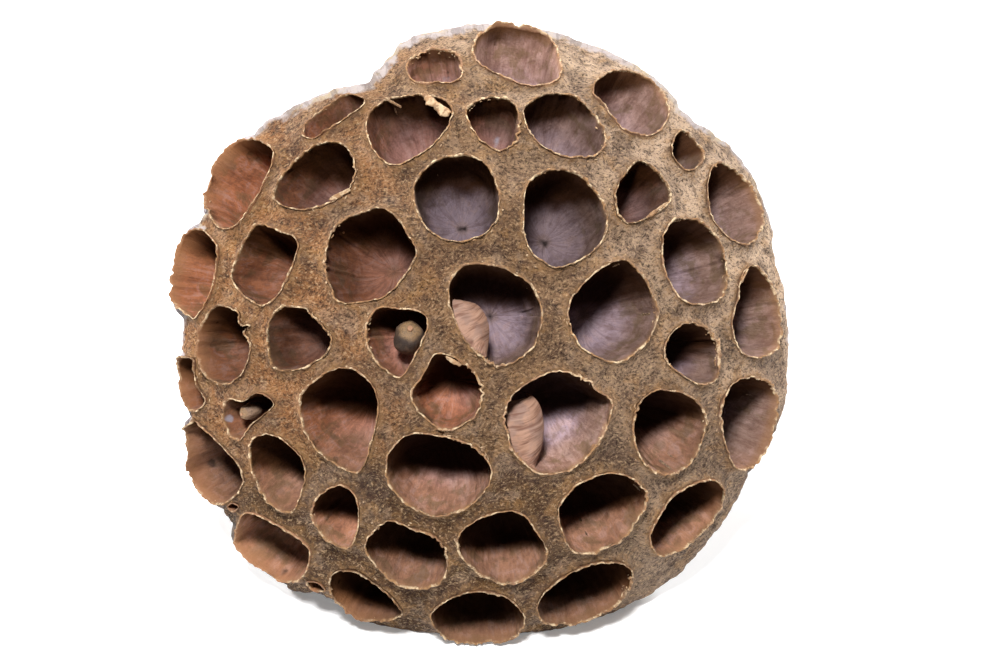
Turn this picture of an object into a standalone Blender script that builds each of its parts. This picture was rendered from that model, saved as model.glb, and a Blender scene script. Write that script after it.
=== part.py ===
"""Dried lotus pod lying on its side: a domed face of open seed chambers on a tapering cone.

The pod is shaped in its own frame (x right, y up, z along its axis towards the eye that looks
at the face), then leaned back until its rim and its stem end touch the ground.
"""

from math import atan2, cos, pi, radians, sin, sqrt

import bmesh
import bpy
import numpy as np
from mathutils import Matrix

# Driving dimensions, in metres
MM = 0.001
EYE = 0.500  # how far in front of the rim's plane the outlines below are seen from
LIP_SPHERE = 0.072  # radius of the dome that all the chamber lips lie on
TISSUE_SPHERE = 0.0702  # radius of the dome of tissue between the lips, lower than them
CROWN_EDGE = 0.057  # the lips' dome crosses the rim's plane this far from the axis
STEM_END = 0.0705  # how far behind the rim's plane the cut stem ends
STEM_RADIUS = 0.0056
STEM_DRIFT = (-0.006, -0.004)  # the stem's end stands this far off the pod's axis
FLAT_SPOT = 0.0010  # how deep the ground cuts the lowest lobe and the stem, worn flat there
ORIGIN_SHIFT = (0.00068, -0.00888)  # sets the middle of the pod's box over the origin

# Outer rim of the cone, without the chambers that stand out of it: degrees round from the
# right, and the radius there in millimetres
RIM = {
    0: 59.4, 14: 58.4, 30: 60.2, 47: 57.8, 60: 59.3, 76: 58.8, 95: 58.0, 105: 57.2,
    115: 52.4, 126: 55.4, 140: 57.6, 155: 57.0, 178: 56.0, 190: 57.6, 205: 58.4,
    220: 58.8, 238: 58.6, 252: 59.4, 270: 58.8, 290: 59.2, 315: 59.6, 332: 59.0, 346: 59.2,
}  # fmt: skip

# The cone behind the rim: share of the rim's radius, and depth behind its plane in millimetres
CONE = [(1.0, 5.5), (0.92, 11.0), (0.79, 19.5), (0.655, 29.5), (0.52, 39.5), (0.375, 49.0), (0.22, 57.5)]
FOLDS = 15  # folds that run down the cone
FOLD_DEPTH = 0.022  # their height as a share of the radius

# Outlines of the chamber mouths, anticlockwise in millimetres, as seen from the eye on the
# rim's plane, with the pod's axis at 0, 0
MOUTHS = {
    "top": [(15.9, 52.5), (14.1, 58.0), (9.0, 60.4), (3.5, 60.6), (-0.4, 57.3), (-0.5, 53.6),
            (4.6, 50.3), (10.7, 48.5), (15.2, 49.6)],
    "top_left": [(-3.2, 51.5), (-4.9, 54.6), (-7.4, 55.3), (-11.0, 54.8), (-14.0, 52.3),
                 (-12.7, 49.4), (-8.6, 49.1), (-4.6, 49.3)],
    "slot": [(-22.3, 45.2), (-24.3, 46.6), (-27.3, 45.8), (-33.4, 41.3), (-34.3, 38.9),
             (-32.5, 38.1), (-29.5, 39.9), (-25.0, 42.9)],
    "upper_4": [(-5.4, 42.8), (-7.5, 45.7), (-13.5, 46.5), (-20.1, 44.3), (-22.0, 39.8),
                (-19.6, 34.5), (-15.5, 33.1), (-8.6, 37.3)],
    "upper_5": [(7.7, 40.0), (6.8, 44.9), (1.8, 46.1), (-1.5, 44.6), (-2.2, 42.5), (0.1, 38.2),
                (3.8, 35.7), (6.9, 37.5)],
    "upper_6": [(24.7, 38.4), (22.2, 42.9), (18.8, 46.2), (14.0, 46.7), (9.4, 44.6),
                (9.0, 41.9), (12.1, 37.0), (17.7, 34.5), (23.4, 35.4)],
    "upper_7": [(37.1, 43.2), (34.6, 48.5), (29.0, 51.4), (24.5, 50.4), (22.4, 47.3),
                (24.7, 44.5), (28.7, 39.8), (34.3, 39.0)],
    "upper_8": [(43.8, 35.2), (41.7, 38.3), (39.8, 39.6), (38.3, 37.9), (37.9, 35.5),
                (39.3, 33.1), (41.0, 31.9), (42.9, 32.9)],
    "left_9": [(-40.3, 34.7), (-42.6, 37.3), (-46.8, 37.5), (-50.3, 35.0), (-52.9, 30.9),
               (-53.3, 24.8), (-50.2, 20.6), (-46.5, 22.3), (-42.8, 28.0)],
    "upper_10": [(-24.4, 30.6), (-25.9, 36.1), (-30.0, 37.3), (-34.6, 34.8), (-39.4, 29.2),
                 (-39.4, 25.8), (-34.7, 24.2), (-27.9, 26.2)],
    "inner_11": [(3.9, 25.2), (2.1, 32.0), (-2.2, 34.6), (-8.5, 33.4), (-12.4, 29.2),
                 (-11.8, 23.4), (-8.0, 18.9), (-3.2, 18.0), (2.0, 20.1)],
    "inner_12": [(24.8, 20.5), (23.7, 26.2), (19.5, 30.7), (14.5, 31.8), (9.8, 29.2),
                 (8.8, 24.0), (9.8, 17.0), (15.0, 13.0), (22.5, 16.2)],
    "right_13": [(37.4, 26.7), (35.1, 31.3), (31.6, 33.6), (28.6, 30.9), (26.9, 27.3),
                 (28.0, 22.4), (30.6, 21.6), (35.1, 24.0)],
    "right_14": [(55.6, 22.0), (53.4, 28.2), (49.9, 31.8), (47.0, 33.1), (45.2, 30.5),
                 (45.5, 23.8), (48.3, 19.5), (52.8, 17.4)],
    "left_15": [(-51.3, 14.5), (-51.7, 17.5), (-54.3, 20.0), (-57.6, 19.0), (-59.6, 13.0),
                (-60.2, 7.0), (-57.2, 3.6), (-55.6, 3.0), (-52.7, 7.8)],
    "left_16": [(-35.8, 15.8), (-36.0, 18.2), (-39.0, 19.7), (-43.6, 20.9), (-46.7, 15.6),
                (-48.3, 10.5), (-44.3, 6.2), (-41.3, 5.8), (-38.0, 9.6)],
    "inner_17": [(-12.5, 15.0), (-14.1, 19.2), (-18.0, 24.0), (-22.1, 23.6), (-27.5, 21.2),
                 (-29.9, 14.5), (-28.0, 7.0), (-24.0, 5.9), (-17.5, 8.0)],
    "right_18": [(48.4, 11.5), (47.2, 17.5), (43.5, 21.6), (38.6, 22.0), (36.1, 18.5),
                 (36.6, 12.0), (39.6, 7.0), (43.5, 5.5), (47.4, 7.0)],
    "middle": [(12.3, 3.0), (10.2, 9.0), (4.0, 12.8), (-2.8, 12.9), (-5.8, 8.5), (-4.6, 2.8),
               (-1.6, -2.6), (4.0, -6.3), (10.0, -3.2)],
    "inner_20": [(34.8, 3.4), (32.6, 10.0), (28.8, 14.0), (24.6, 12.8), (19.4, 8.4),
                 (17.5, 3.6), (20.0, -2.4), (26.6, -5.7), (32.4, -2.0)],
    "right_21": [(59.3, 1.5), (57.6, 8.6), (54.4, 12.8), (51.9, 11.6), (50.8, 6.6),
                 (49.8, 1.5), (51.4, -3.6), (55.4, -4.7), (58.6, -2.6)],
    "left_22": [(-45.0, -2.0), (-46.2, 1.7), (-48.5, 4.2), (-51.6, 5.0), (-54.7, 0.1),
                (-55.2, -5.0), (-52.5, -9.4), (-49.0, -10.1), (-46.0, -7.2)],
    "inner_23": [(-29.1, -1.5), (-31.3, 1.6), (-34.1, 4.6), (-39.2, 4.5), (-41.3, 0.0),
                 (-40.4, -6.3), (-36.3, -7.1), (-31.0, -5.0)],
    "seed_middle": [(-10.3, 0.8), (-11.0, 3.7), (-15.5, 4.6), (-19.6, 4.6), (-21.9, 1.0),
                    (-20.6, -4.7), (-15.8, -8.7), (-12.9, -5.0)],
    "inner_25": [(0.5, -12.5), (-0.8, -8.6), (-4.6, -5.0), (-8.7, -4.5), (-10.9, -8.4),
                 (-13.2, -12.2), (-10.6, -16.4), (-6.3, -18.7), (-1.2, -16.4)],
    "right_26": [(47.0, -6.0), (46.2, -1.2), (43.0, 1.5), (40.0, 1.5), (37.2, -1.2),
                 (36.6, -5.2), (40.4, -8.5), (43.6, -9.9), (46.2, -9.2)],
    "left_27": [(-53.7, -13.0), (-55.2, -10.5), (-57.0, -5.6), (-58.6, -5.5), (-58.6, -9.5),
                (-57.4, -14.0), (-55.8, -15.3), (-54.2, -14.4)],
    "seed_left": [(-40.8, -14.2), (-43.0, -12.0), (-48.4, -13.1), (-50.0, -15.5),
                  (-49.4, -18.8), (-47.3, -20.4), (-44.6, -17.9)],
    "inner_29": [(-19.9, -14.5), (-21.2, -10.0), (-25.7, -6.9), (-31.4, -8.8), (-34.8, -13.0),
                 (-33.8, -19.6), (-30.3, -24.2), (-23.8, -27.1), (-21.2, -21.5)],
    "inner_30": [(26.0, -15.0), (23.6, -11.6), (20.0, -8.8), (14.5, -7.8), (8.8, -10.6),
                 (5.3, -15.0), (6.6, -22.4), (12.6, -27.7), (21.0, -24.6)],
    "right_31": [(44.3, -18.0), (42.8, -13.6), (38.2, -11.5), (33.8, -11.8), (30.4, -16.5),
                 (31.2, -23.4), (35.6, -27.6), (41.4, -25.6)],
    "right_32": [(58.6, -15.5), (57.4, -10.6), (53.8, -8.9), (49.8, -10.2), (47.6, -15.5),
                 (48.5, -22.2), (51.2, -26.8), (56.0, -24.2)],
    "left_33": [(-46.8, -28.7), (-48.3, -25.2), (-51.9, -21.4), (-56.6, -18.0), (-57.2, -22.2),
                (-56.6, -27.8), (-53.0, -33.0), (-49.6, -32.2)],
    "lower_34": [(-34.0, -27.5), (-35.6, -23.8), (-40.4, -20.0), (-44.5, -21.4),
                 (-44.4, -27.0), (-41.0, -33.2), (-37.0, -35.0), (-35.0, -31.8)],
    "lower_35": [(2.4, -28.0), (0.2, -23.6), (-5.5, -20.9), (-13.2, -20.0), (-17.5, -23.7),
                 (-17.4, -29.6), (-12.6, -34.6), (-7.3, -35.9), (-0.8, -33.0)],
    "lower_36": [(-23.6, -35.0), (-24.8, -31.4), (-27.6, -30.0), (-31.0, -32.0),
                 (-32.6, -36.0), (-30.0, -40.2), (-26.2, -42.3), (-24.2, -39.5)],
    "lower_37": [(32.7, -32.0), (30.0, -28.8), (25.0, -27.8), (19.0, -30.2), (15.8, -34.5),
                 (16.6, -39.5), (19.4, -43.1), (26.6, -41.4), (30.8, -36.8)],
    "lower_38": [(48.2, -31.6), (45.0, -29.0), (38.8, -31.6), (36.0, -35.0), (33.6, -40.2),
                 (35.8, -43.8), (40.5, -41.8), (45.4, -37.4)],
    "lower_39": [(-33.2, -44.0), (-34.6, -41.1), (-40.0, -37.6), (-45.6, -35.4),
                 (-47.4, -38.8), (-47.5, -41.8), (-44.0, -45.6), (-38.8, -48.6), (-34.8, -47.9)],
    "lower_40": [(-6.2, -45.6), (-8.2, -40.4), (-13.0, -38.6), (-17.6, -37.0), (-22.0, -40.8),
                 (-20.6, -45.0), (-14.8, -49.5), (-8.6, -49.2)],
    "lower_41": [(13.2, -43.8), (11.0, -38.8), (7.4, -35.2), (1.0, -36.2), (-3.8, -39.8),
                 (-2.9, -44.3), (4.0, -49.0), (9.4, -48.0)],
    "bottom_42": [(-15.1, -55.0), (-17.2, -52.0), (-20.7, -49.1), (-24.5, -46.9),
                  (-28.2, -47.1), (-29.1, -49.8), (-27.3, -53.3), (-23.0, -56.0), (-18.0, -56.2)],
    "bottom": [(8.8, -56.0), (6.6, -52.8), (2.0, -51.0), (-3.4, -51.3), (-9.1, -54.6),
               (-7.8, -57.8), (-4.0, -59.8), (2.0, -59.9), (6.6, -59.0)],
    "bottom_44": [(30.0, -48.0), (28.0, -45.4), (22.0, -45.5), (14.6, -49.4), (11.6, -53.8),
                  (13.6, -56.4), (19.8, -56.1), (26.8, -53.0)],
    "pit_left": [(-47.1, -34.2), (-48.2, -33.5), (-49.3, -34.2), (-48.2, -35.0)],
    "pit_bottom": [(-30.3, -50.6), (-31.2, -49.3), (-33.6, -48.9), (-32.6, -50.4)],
}  # fmt: skip

# How fine the solids are
RIM_SIDES = 60
MOUTH_SIDES = 13
SMALL_MOUTH_SIDES = 10
SMALL_MOUTH = 0.0048  # mean radius below which a mouth gets fewer sides

# Chambers
CHAMBER_BASE = 0.0030  # a chamber is this deep and
CHAMBER_PER_RADIUS = 1.40  # this many times its mean radius more
CHAMBER_SHAPE = [(-0.30, 1.0), (0.5, 0.97), (0.85, 0.70)]  # share of the depth, of the mouth
LIP_HEIGHT = 0.0007  # how far a lip stands above the lips' dome
LIP_WALL = 0.0009  # thickness of the lip's edge
COLLAR_FLARE = 0.0034  # how far a collar spreads from its mouth into the tissue
COLLAR_DEPTH = 0.0050
COLLAR_TUCK = 0.0002  # how far the skirt's edge lies under the tissue
CUP_WALL = 0.0013  # wall of the chambers at the edge of the pod
OUTER_FROM, OUTER_TO = 0.0530, 0.0580  # the collars thin out to that wall between these radii

# Loose lining that bulges into two chambers: chamber, direction in degrees, then the depth of
# its middle and its half sizes towards the chamber's axis, along the wall and in depth
FLAPS = [
    ("middle", 187, 0.0062, (0.0052, 0.0058, 0.0054)),
    ("inner_30", 182, 0.0062, (0.0056, 0.0064, 0.0054)),
]

# Shrivelled seeds that stand on their chambers' floors: chamber, radius, length, lean in degrees
SEEDS = [("seed_middle", 0.0031, 0.0078, 4.0), ("seed_left", 0.0019, 0.0062, 0.0)]
SEED_GAP = 0.0003
FLOOR_RISE = 0.0010  # how far the chamber's floor rises to where the seed's foot meets it
SEED_SIDES = 12
SEED_PROFILE = [(0.04, 0.45), (0.20, 0.84), (0.42, 1.0), (0.66, 0.93), (0.84, 0.66), (0.92, 0.30)]

# Colours as linear red, green and blue, then roughness
POD_LOOK = ((0.205, 0.128, 0.076), 0.82)
SEED_LOOKS = [((0.150, 0.125, 0.080), 0.62), ((0.235, 0.165, 0.095), 0.60)]

SPHERE_DROP = sqrt(LIP_SPHERE**2 - CROWN_EDGE**2)
SPHERE_MIDDLE = np.array([0.0, 0.0, -SPHERE_DROP])


def closed_curve(corners, count):
    """Points evenly along the parameter of a smooth closed curve through the corners."""
    corners = np.asarray(corners, float)
    at = np.arange(count) * len(corners) / count
    first = at.astype(int)
    t = (at - first)[:, None]
    a, b, c, d = (corners[(first + k) % len(corners)] for k in (-1, 0, 1, 2))
    return 0.5 * (2 * b + (c - a) * t + (2 * a - 5 * b + 4 * c - d) * t**2 + (3 * b - a - 3 * c + d) * t**3)


def on_dome(outline):
    """Where the eye's rays through points of the rim's plane first meet the lips' dome."""
    reach = (outline**2).sum(1) + EYE**2
    half = EYE * (EYE + SPHERE_DROP)
    rest = (EYE + SPHERE_DROP) ** 2 - LIP_SPHERE**2
    t = (half - np.sqrt(half**2 - reach * rest)) / reach
    return np.column_stack([outline * t[:, None], EYE * (1 - t)])


def rim_radius(angle):
    """The cone's outer rim at an angle, smooth between the measured directions."""
    known = np.array(sorted(RIM))
    value = np.array([RIM[k] for k in known]) * MM
    after = np.searchsorted(known, np.degrees(angle) % 360, side="right")
    low, high = (after - 1) % len(known), after % len(known)
    gap = (known[high] - known[low]) % 360
    t = ((np.degrees(angle) - known[low]) % 360) / gap
    t = t * t * (3 - 2 * t)
    return value[low] * (1 - t) + value[high] * t


class Mouth:
    """One chamber mouth: its lip points on the dome, its middle and its size."""

    def __init__(self, corners):
        sides = MOUTH_SIDES
        lip = on_dome(closed_curve(corners, 96) * MM)
        self.middle = lip.mean(0)
        self.radius = np.linalg.norm(lip - self.middle, axis=1).mean()
        if self.radius < SMALL_MOUTH:
            sides = SMALL_MOUTH_SIDES
        self.lip = on_dome(closed_curve(corners, sides) * MM)
        self.depth = CHAMBER_BASE + CHAMBER_PER_RADIUS * self.radius
        self.out = (self.middle - SPHERE_MIDDLE) / LIP_SPHERE

    def ring(self, depth, share=1.0, spread=0.0):
        """The lip drawn in by a share and out by a distance, then moved down towards the
        dome's centre by a depth, so that neighbouring chambers keep their walls."""
        off = self.lip - self.middle
        length = np.linalg.norm(off, axis=1, keepdims=True)
        flat = self.middle + off * (share + np.reshape(spread, (-1, 1)) / length)
        return SPHERE_MIDDLE + (flat - SPHERE_MIDDLE) * (1 - depth / LIP_SPHERE)


def closed_mesh(name, rings, low=None, high=None):
    """A mesh through rings of equal count, closed by a fan to a point at each end. The rings
    run anticlockwise seen from the last one."""
    count = len(rings[0])
    low = rings[0].mean(0) if low is None else low
    high = rings[-1].mean(0) if high is None else high
    points = np.vstack([*rings, low, high])
    j = np.arange(count)
    k = (j + 1) % count
    last = (len(rings) - 1) * count
    faces = []
    for i in range(len(rings) - 1):
        a, b = i * count, (i + 1) * count
        faces += np.column_stack([a + j, a + k, b + k, b + j]).tolist()
    faces += np.column_stack([k, j, np.full(count, len(points) - 2)]).tolist()
    faces += np.column_stack([last + j, last + k, np.full(count, len(points) - 1)]).tolist()
    mesh = bpy.data.meshes.new(name)
    mesh.from_pydata(points.tolist(), [], faces)
    thing = bpy.data.objects.new(name, mesh)
    bpy.context.scene.collection.objects.link(thing)
    return thing


def material(name, look):
    """A plain dry surface of one colour."""
    made = bpy.data.materials.new(name)
    made.use_nodes = True
    shader = made.node_tree.nodes["Principled BSDF"]
    shader.inputs["Base Color"].default_value = (*look[0], 1.0)
    shader.inputs["Roughness"].default_value = look[1]
    made.diffuse_color = (*look[0], 1.0)
    return made


def core():
    """The dome of tissue and the cone behind it, down to the cut stem, as rings round the
    axis whose radius follows the rim."""
    angle = np.arange(RIM_SIDES) * 2 * pi / RIM_SIDES
    rim = rim_radius(angle)
    round_ = np.column_stack([np.cos(angle), np.sin(angle)])

    def ring(radius, z, drift=0.0):
        plan = round_ * np.reshape(radius, (-1, 1)) + np.array(STEM_DRIFT) * drift
        return np.column_stack([plan, np.broadcast_to(z, len(angle))])

    rings = []
    for radius, depth in ((1.0, STEM_END), (1.08, STEM_END - 0.006), (1.45, 0.0625)):
        rings.append(ring(STEM_RADIUS * radius, -depth, 1.0 - 6 * abs(depth - STEM_END)))
    for share, depth in reversed(CONE):
        fold = FOLD_DEPTH * (1 - share) * (1 + np.sin(2 * angle + 0.7) / 2)
        wave = 1 + fold * np.cos(FOLDS * angle + 1.3 * np.sin(3 * angle))
        rings.append(ring(rim * share * wave, -depth * MM, (depth * MM / STEM_END) ** 2))
    for share in (0.975, 0.86, 0.72, 0.56, 0.38, 0.18):
        height = np.sqrt(TISSUE_SPHERE**2 - (rim * share) ** 2) - SPHERE_DROP
        rings.append(ring(rim * share, height))
    top = np.array([0.0, 0.0, TISSUE_SPHERE - SPHERE_DROP])
    return closed_mesh("pod", rings, high=top)


def collar(mouth):
    """The raised tissue round one mouth: a crest at the lip and a skirt that dips into the
    dome. At the edge of the pod it is a whole cup with a thin outer wall."""
    reach = np.hypot(mouth.lip[:, 0], mouth.lip[:, 1])
    outer = np.clip((reach - OUTER_FROM) / (OUTER_TO - OUTER_FROM), 0, 1)
    flare = COLLAR_FLARE + (CUP_WALL - COLLAR_FLARE) * outer
    rings = [mouth.ring(COLLAR_DEPTH, spread=flare * 0.8)]
    if outer.any():
        shape = reversed(CHAMBER_SHAPE[1:])
        rings = [mouth.ring(mouth.depth + CUP_WALL, 0.3)]
        rings += [mouth.ring(part * mouth.depth, share, CUP_WALL) for part, share in shape]
    rings.append(mouth.ring(LIP_SPHERE - TISSUE_SPHERE + COLLAR_TUCK, spread=flare))
    rings.append(mouth.ring(-LIP_HEIGHT, spread=LIP_WALL))
    return closed_mesh("collar", rings)


def chamber(mouth):
    """The hollow behind one mouth: a round-bottomed cup, open upwards past its lip."""
    rings = [mouth.ring(part * mouth.depth, share) for part, share in reversed(CHAMBER_SHAPE)]
    floor = mouth.middle - mouth.out * mouth.depth
    return closed_mesh("chamber", rings, low=floor)


def flap(mouth, direction, depth, half):
    """A lump of loose lining on a chamber's wall, rounded on all sides."""
    side = np.array([cos(radians(direction)), sin(radians(direction)), 0.0])
    side -= mouth.out * (side @ mouth.out)
    side /= np.linalg.norm(side)
    along = np.cross(mouth.out, side)
    off = mouth.lip - mouth.middle
    wall = (off @ side).max() * (1 - depth / LIP_SPHERE)
    middle = mouth.middle + side * wall - mouth.out * depth
    turn = np.arange(SEED_SIDES) * 2 * pi / SEED_SIDES
    rings = []
    for tilt in radians(-60), radians(-25), radians(10), radians(42), radians(70):
        flat = np.outer(np.cos(turn), side) * half[0] + np.outer(np.sin(turn), along) * half[1]
        rings.append(middle + flat * cos(tilt) + mouth.out * half[2] * sin(tilt))
    return closed_mesh("flap", rings)


def seed(name, mouth, radius, length, lean):
    """A shrivelled seed with a small nub, standing on its chamber's floor."""
    axis = mouth.out
    side = np.cross(axis, (0.0, 1.0, 0.0))
    side /= np.linalg.norm(side)
    axis = axis * cos(radians(lean)) + np.cross(axis, side) * sin(radians(lean))
    along = np.cross(axis, side)
    foot = mouth.middle - mouth.out * (mouth.depth - SEED_GAP - FLOOR_RISE)
    turn = np.arange(SEED_SIDES) * 2 * pi / SEED_SIDES
    wave = 1 + 0.06 * np.cos(3 * turn + 0.6)
    rings = []
    for height, share in SEED_PROFILE:
        flat = np.outer(np.cos(turn) * wave, side) + np.outer(np.sin(turn) * wave, along)
        rings.append(foot + axis * length * height + flat * radius * share)
    return closed_mesh(name, rings, low=foot + axis * length * 0.02, high=foot + axis * length)


def combine(target, operation, things):
    """Join the things to the target or cut them from it, in one step, and remove them."""
    group = bpy.data.collections.new(operation.lower())
    bpy.context.scene.collection.children.link(group)
    for thing in things:
        bpy.context.scene.collection.objects.unlink(thing)
        group.objects.link(thing)
    step = target.modifiers.new(operation.lower(), "BOOLEAN")
    step.operation = operation
    step.operand_type = "COLLECTION"
    step.collection = group
    step.solver = "MANIFOLD"
    graph = bpy.context.evaluated_depsgraph_get()
    mesh = bpy.data.meshes.new_from_object(target.evaluated_get(graph), depsgraph=graph)
    target.modifiers.clear()
    target.data = mesh
    for thing in list(group.objects):
        bpy.data.objects.remove(thing)
    bpy.data.collections.remove(group)


def resting():
    """The pod's frame to the world's: leaned back by the slope from its lowest lobe to its
    stem's end, and down until the ground takes the flat spots."""
    lobe = on_dome(np.array(MOUTHS["bottom"]) * MM)
    low = lobe[np.argmin(lobe[:, 1])] + np.array([0.0, -CUP_WALL, 0.0])
    stem = (STEM_DRIFT[1] - STEM_RADIUS, -STEM_END)
    lean = atan2(stem[0] - low[1], low[2] - stem[1])
    turn = Matrix.Rotation(pi / 2 - lean, 4, "X")
    ground = low[1] * cos(lean) + low[2] * sin(lean) + FLAT_SPOT
    return Matrix.Translation((*ORIGIN_SHIFT, -ground)) @ turn


def ground_block(size=0.4):
    """The space under the ground, to cut the flat spots with."""
    square = np.array([(-1, -1), (1, -1), (1, 1), (-1, 1)]) * size
    return closed_mesh("ground", [np.column_stack([square, np.full(4, z)]) for z in (-size, 0.0)])


def drop_scraps(thing):
    """Remove the crumbs that a cut leaves, all that doesn't hang together with the pod."""
    shape = bmesh.new()
    shape.from_mesh(thing.data)
    body, front = set(), [max(shape.verts, key=lambda vert: vert.co.z)]
    while front:
        vert = front.pop()
        if vert not in body:
            body.add(vert)
            front += [edge.other_vert(vert) for edge in vert.link_edges]
    bmesh.ops.delete(shape, geom=[vert for vert in shape.verts if vert not in body], context="VERTS")
    shape.to_mesh(thing.data)
    shape.free()


def main():
    for thing in list(bpy.data.objects):
        bpy.data.objects.remove(thing)
    mouths = {name: Mouth(corners) for name, corners in MOUTHS.items()}

    pod = core()
    combine(pod, "UNION", [collar(mouth) for mouth in mouths.values()])
    combine(pod, "DIFFERENCE", [chamber(mouth) for mouth in mouths.values()])
    flaps = [flap(mouths[name], direction, depth, half) for name, direction, depth, half in FLAPS]
    combine(pod, "UNION", flaps)
    seeds = [seed(name, mouths[name], *size) for name, *size in SEEDS]

    place = resting()
    for thing in (pod, *seeds):
        thing.data.transform(place)
    combine(pod, "DIFFERENCE", [ground_block()])
    drop_scraps(pod)

    pod.data.materials.clear()
    pod.data.materials.append(material("dry_pod", POD_LOOK))
    for thing, look in zip(seeds, SEED_LOOKS):
        thing.data.materials.append(material(thing.name, look))
        thing.data.shade_smooth()


main()
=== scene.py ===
# A dried lotus pod that lies on its rim and its stem: the dome of spongy tissue, the folded cone
# behind it, the papery lining of every chamber with its torn lip, loose flakes and two old seeds.
from itertools import product
from math import atan2, cos, pi, sin, sqrt

import bpy
import numpy as np
from mathutils import Matrix, Vector


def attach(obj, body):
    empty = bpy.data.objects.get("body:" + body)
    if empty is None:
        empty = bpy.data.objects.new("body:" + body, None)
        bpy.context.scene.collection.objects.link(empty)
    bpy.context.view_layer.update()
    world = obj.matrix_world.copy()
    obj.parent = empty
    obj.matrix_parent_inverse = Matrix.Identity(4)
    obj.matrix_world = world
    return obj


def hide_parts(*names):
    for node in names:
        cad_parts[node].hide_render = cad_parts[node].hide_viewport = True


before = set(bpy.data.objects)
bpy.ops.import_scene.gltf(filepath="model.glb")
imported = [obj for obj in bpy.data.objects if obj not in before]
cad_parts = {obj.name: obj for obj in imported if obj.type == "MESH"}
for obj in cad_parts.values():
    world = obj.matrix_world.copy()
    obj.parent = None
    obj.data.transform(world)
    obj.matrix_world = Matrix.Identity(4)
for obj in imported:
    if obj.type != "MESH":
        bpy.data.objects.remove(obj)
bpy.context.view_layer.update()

# Everything is shaped in the pod's own frame, in millimetres: x right, y up, z along the pod's
# axis towards the eye. toWorld turns it to the way the pod lies, in metres.
pod = {
    "eye": 500.0,              # the outlines below are seen from here, in front of the rim's plane
    "lipSphere": 72.0,         # the dome that the chamber lips lie on
    "tissueSphere": 70.2,      # the lower dome of tissue between them
    "crownEdge": 57.0,         # the lips' dome crosses the rim's plane this far from the axis
    "stemEnd": 70.5,           # the cut stem ends this far behind the rim's plane
    "stemRadius": 5.6,
    "stemDrift": (-6.0, -4.0),
    "flatSpot": 1.0,           # the ground has worn the lowest lobe and the stem flat this deep
    "softSpot": 1.0,           # and rounds what is this near to it
    "originShift": (0.68, -8.88),
    "cupWall": 1.3,            # from the lowest mouth's outline to the outside of its lobe
    "rimRadius": 59.0,         # about, to measure along the rim and down the cone
    "chamberBase": 3.0,        # a chamber is this deep and
    "chamberPerRadius": 1.4,   # this many times its mean radius more
}

# The cone's rim without the chambers that stand out of it: degrees from the right, radius
rimRadii = {
    4: 60.0, 9: 60.0, 13: 59.4, 16: 59.4, 20: 61.0, 25: 61.4, 29: 61.8, 33: 61.6, 37: 61.2, 40: 60.0,
    45: 58.5, 48: 58.5, 50: 59.7, 54: 60.4, 62: 60.4, 67: 60.4, 70: 60.1, 75: 60.4, 92: 60.2, 95: 59.4,
    101: 59.2, 105: 58.2, 108: 55.9, 111: 54.0, 114: 52.4, 116: 52.9, 121: 54.3, 126: 55.6, 130: 56.5,
    132: 56.8, 135: 57.9, 141: 58.1, 157: 57.9, 170: 57.4, 177: 56.9, 183: 57.5, 190: 57.5, 196: 57.7,
    205: 58.8, 217: 60.8, 226: 60.2, 234: 62.7, 239: 59.4, 244: 59.2, 250: 61.8, 258: 62.2, 266: 61.2,
    276: 60.6, 284: 60.8, 290: 60.4, 298: 60.8, 305: 61.2, 310: 61.4, 315: 60.8, 320: 60.3, 326: 60.0,
    332: 59.3, 338: 60.6, 345: 61.5,
}

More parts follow.
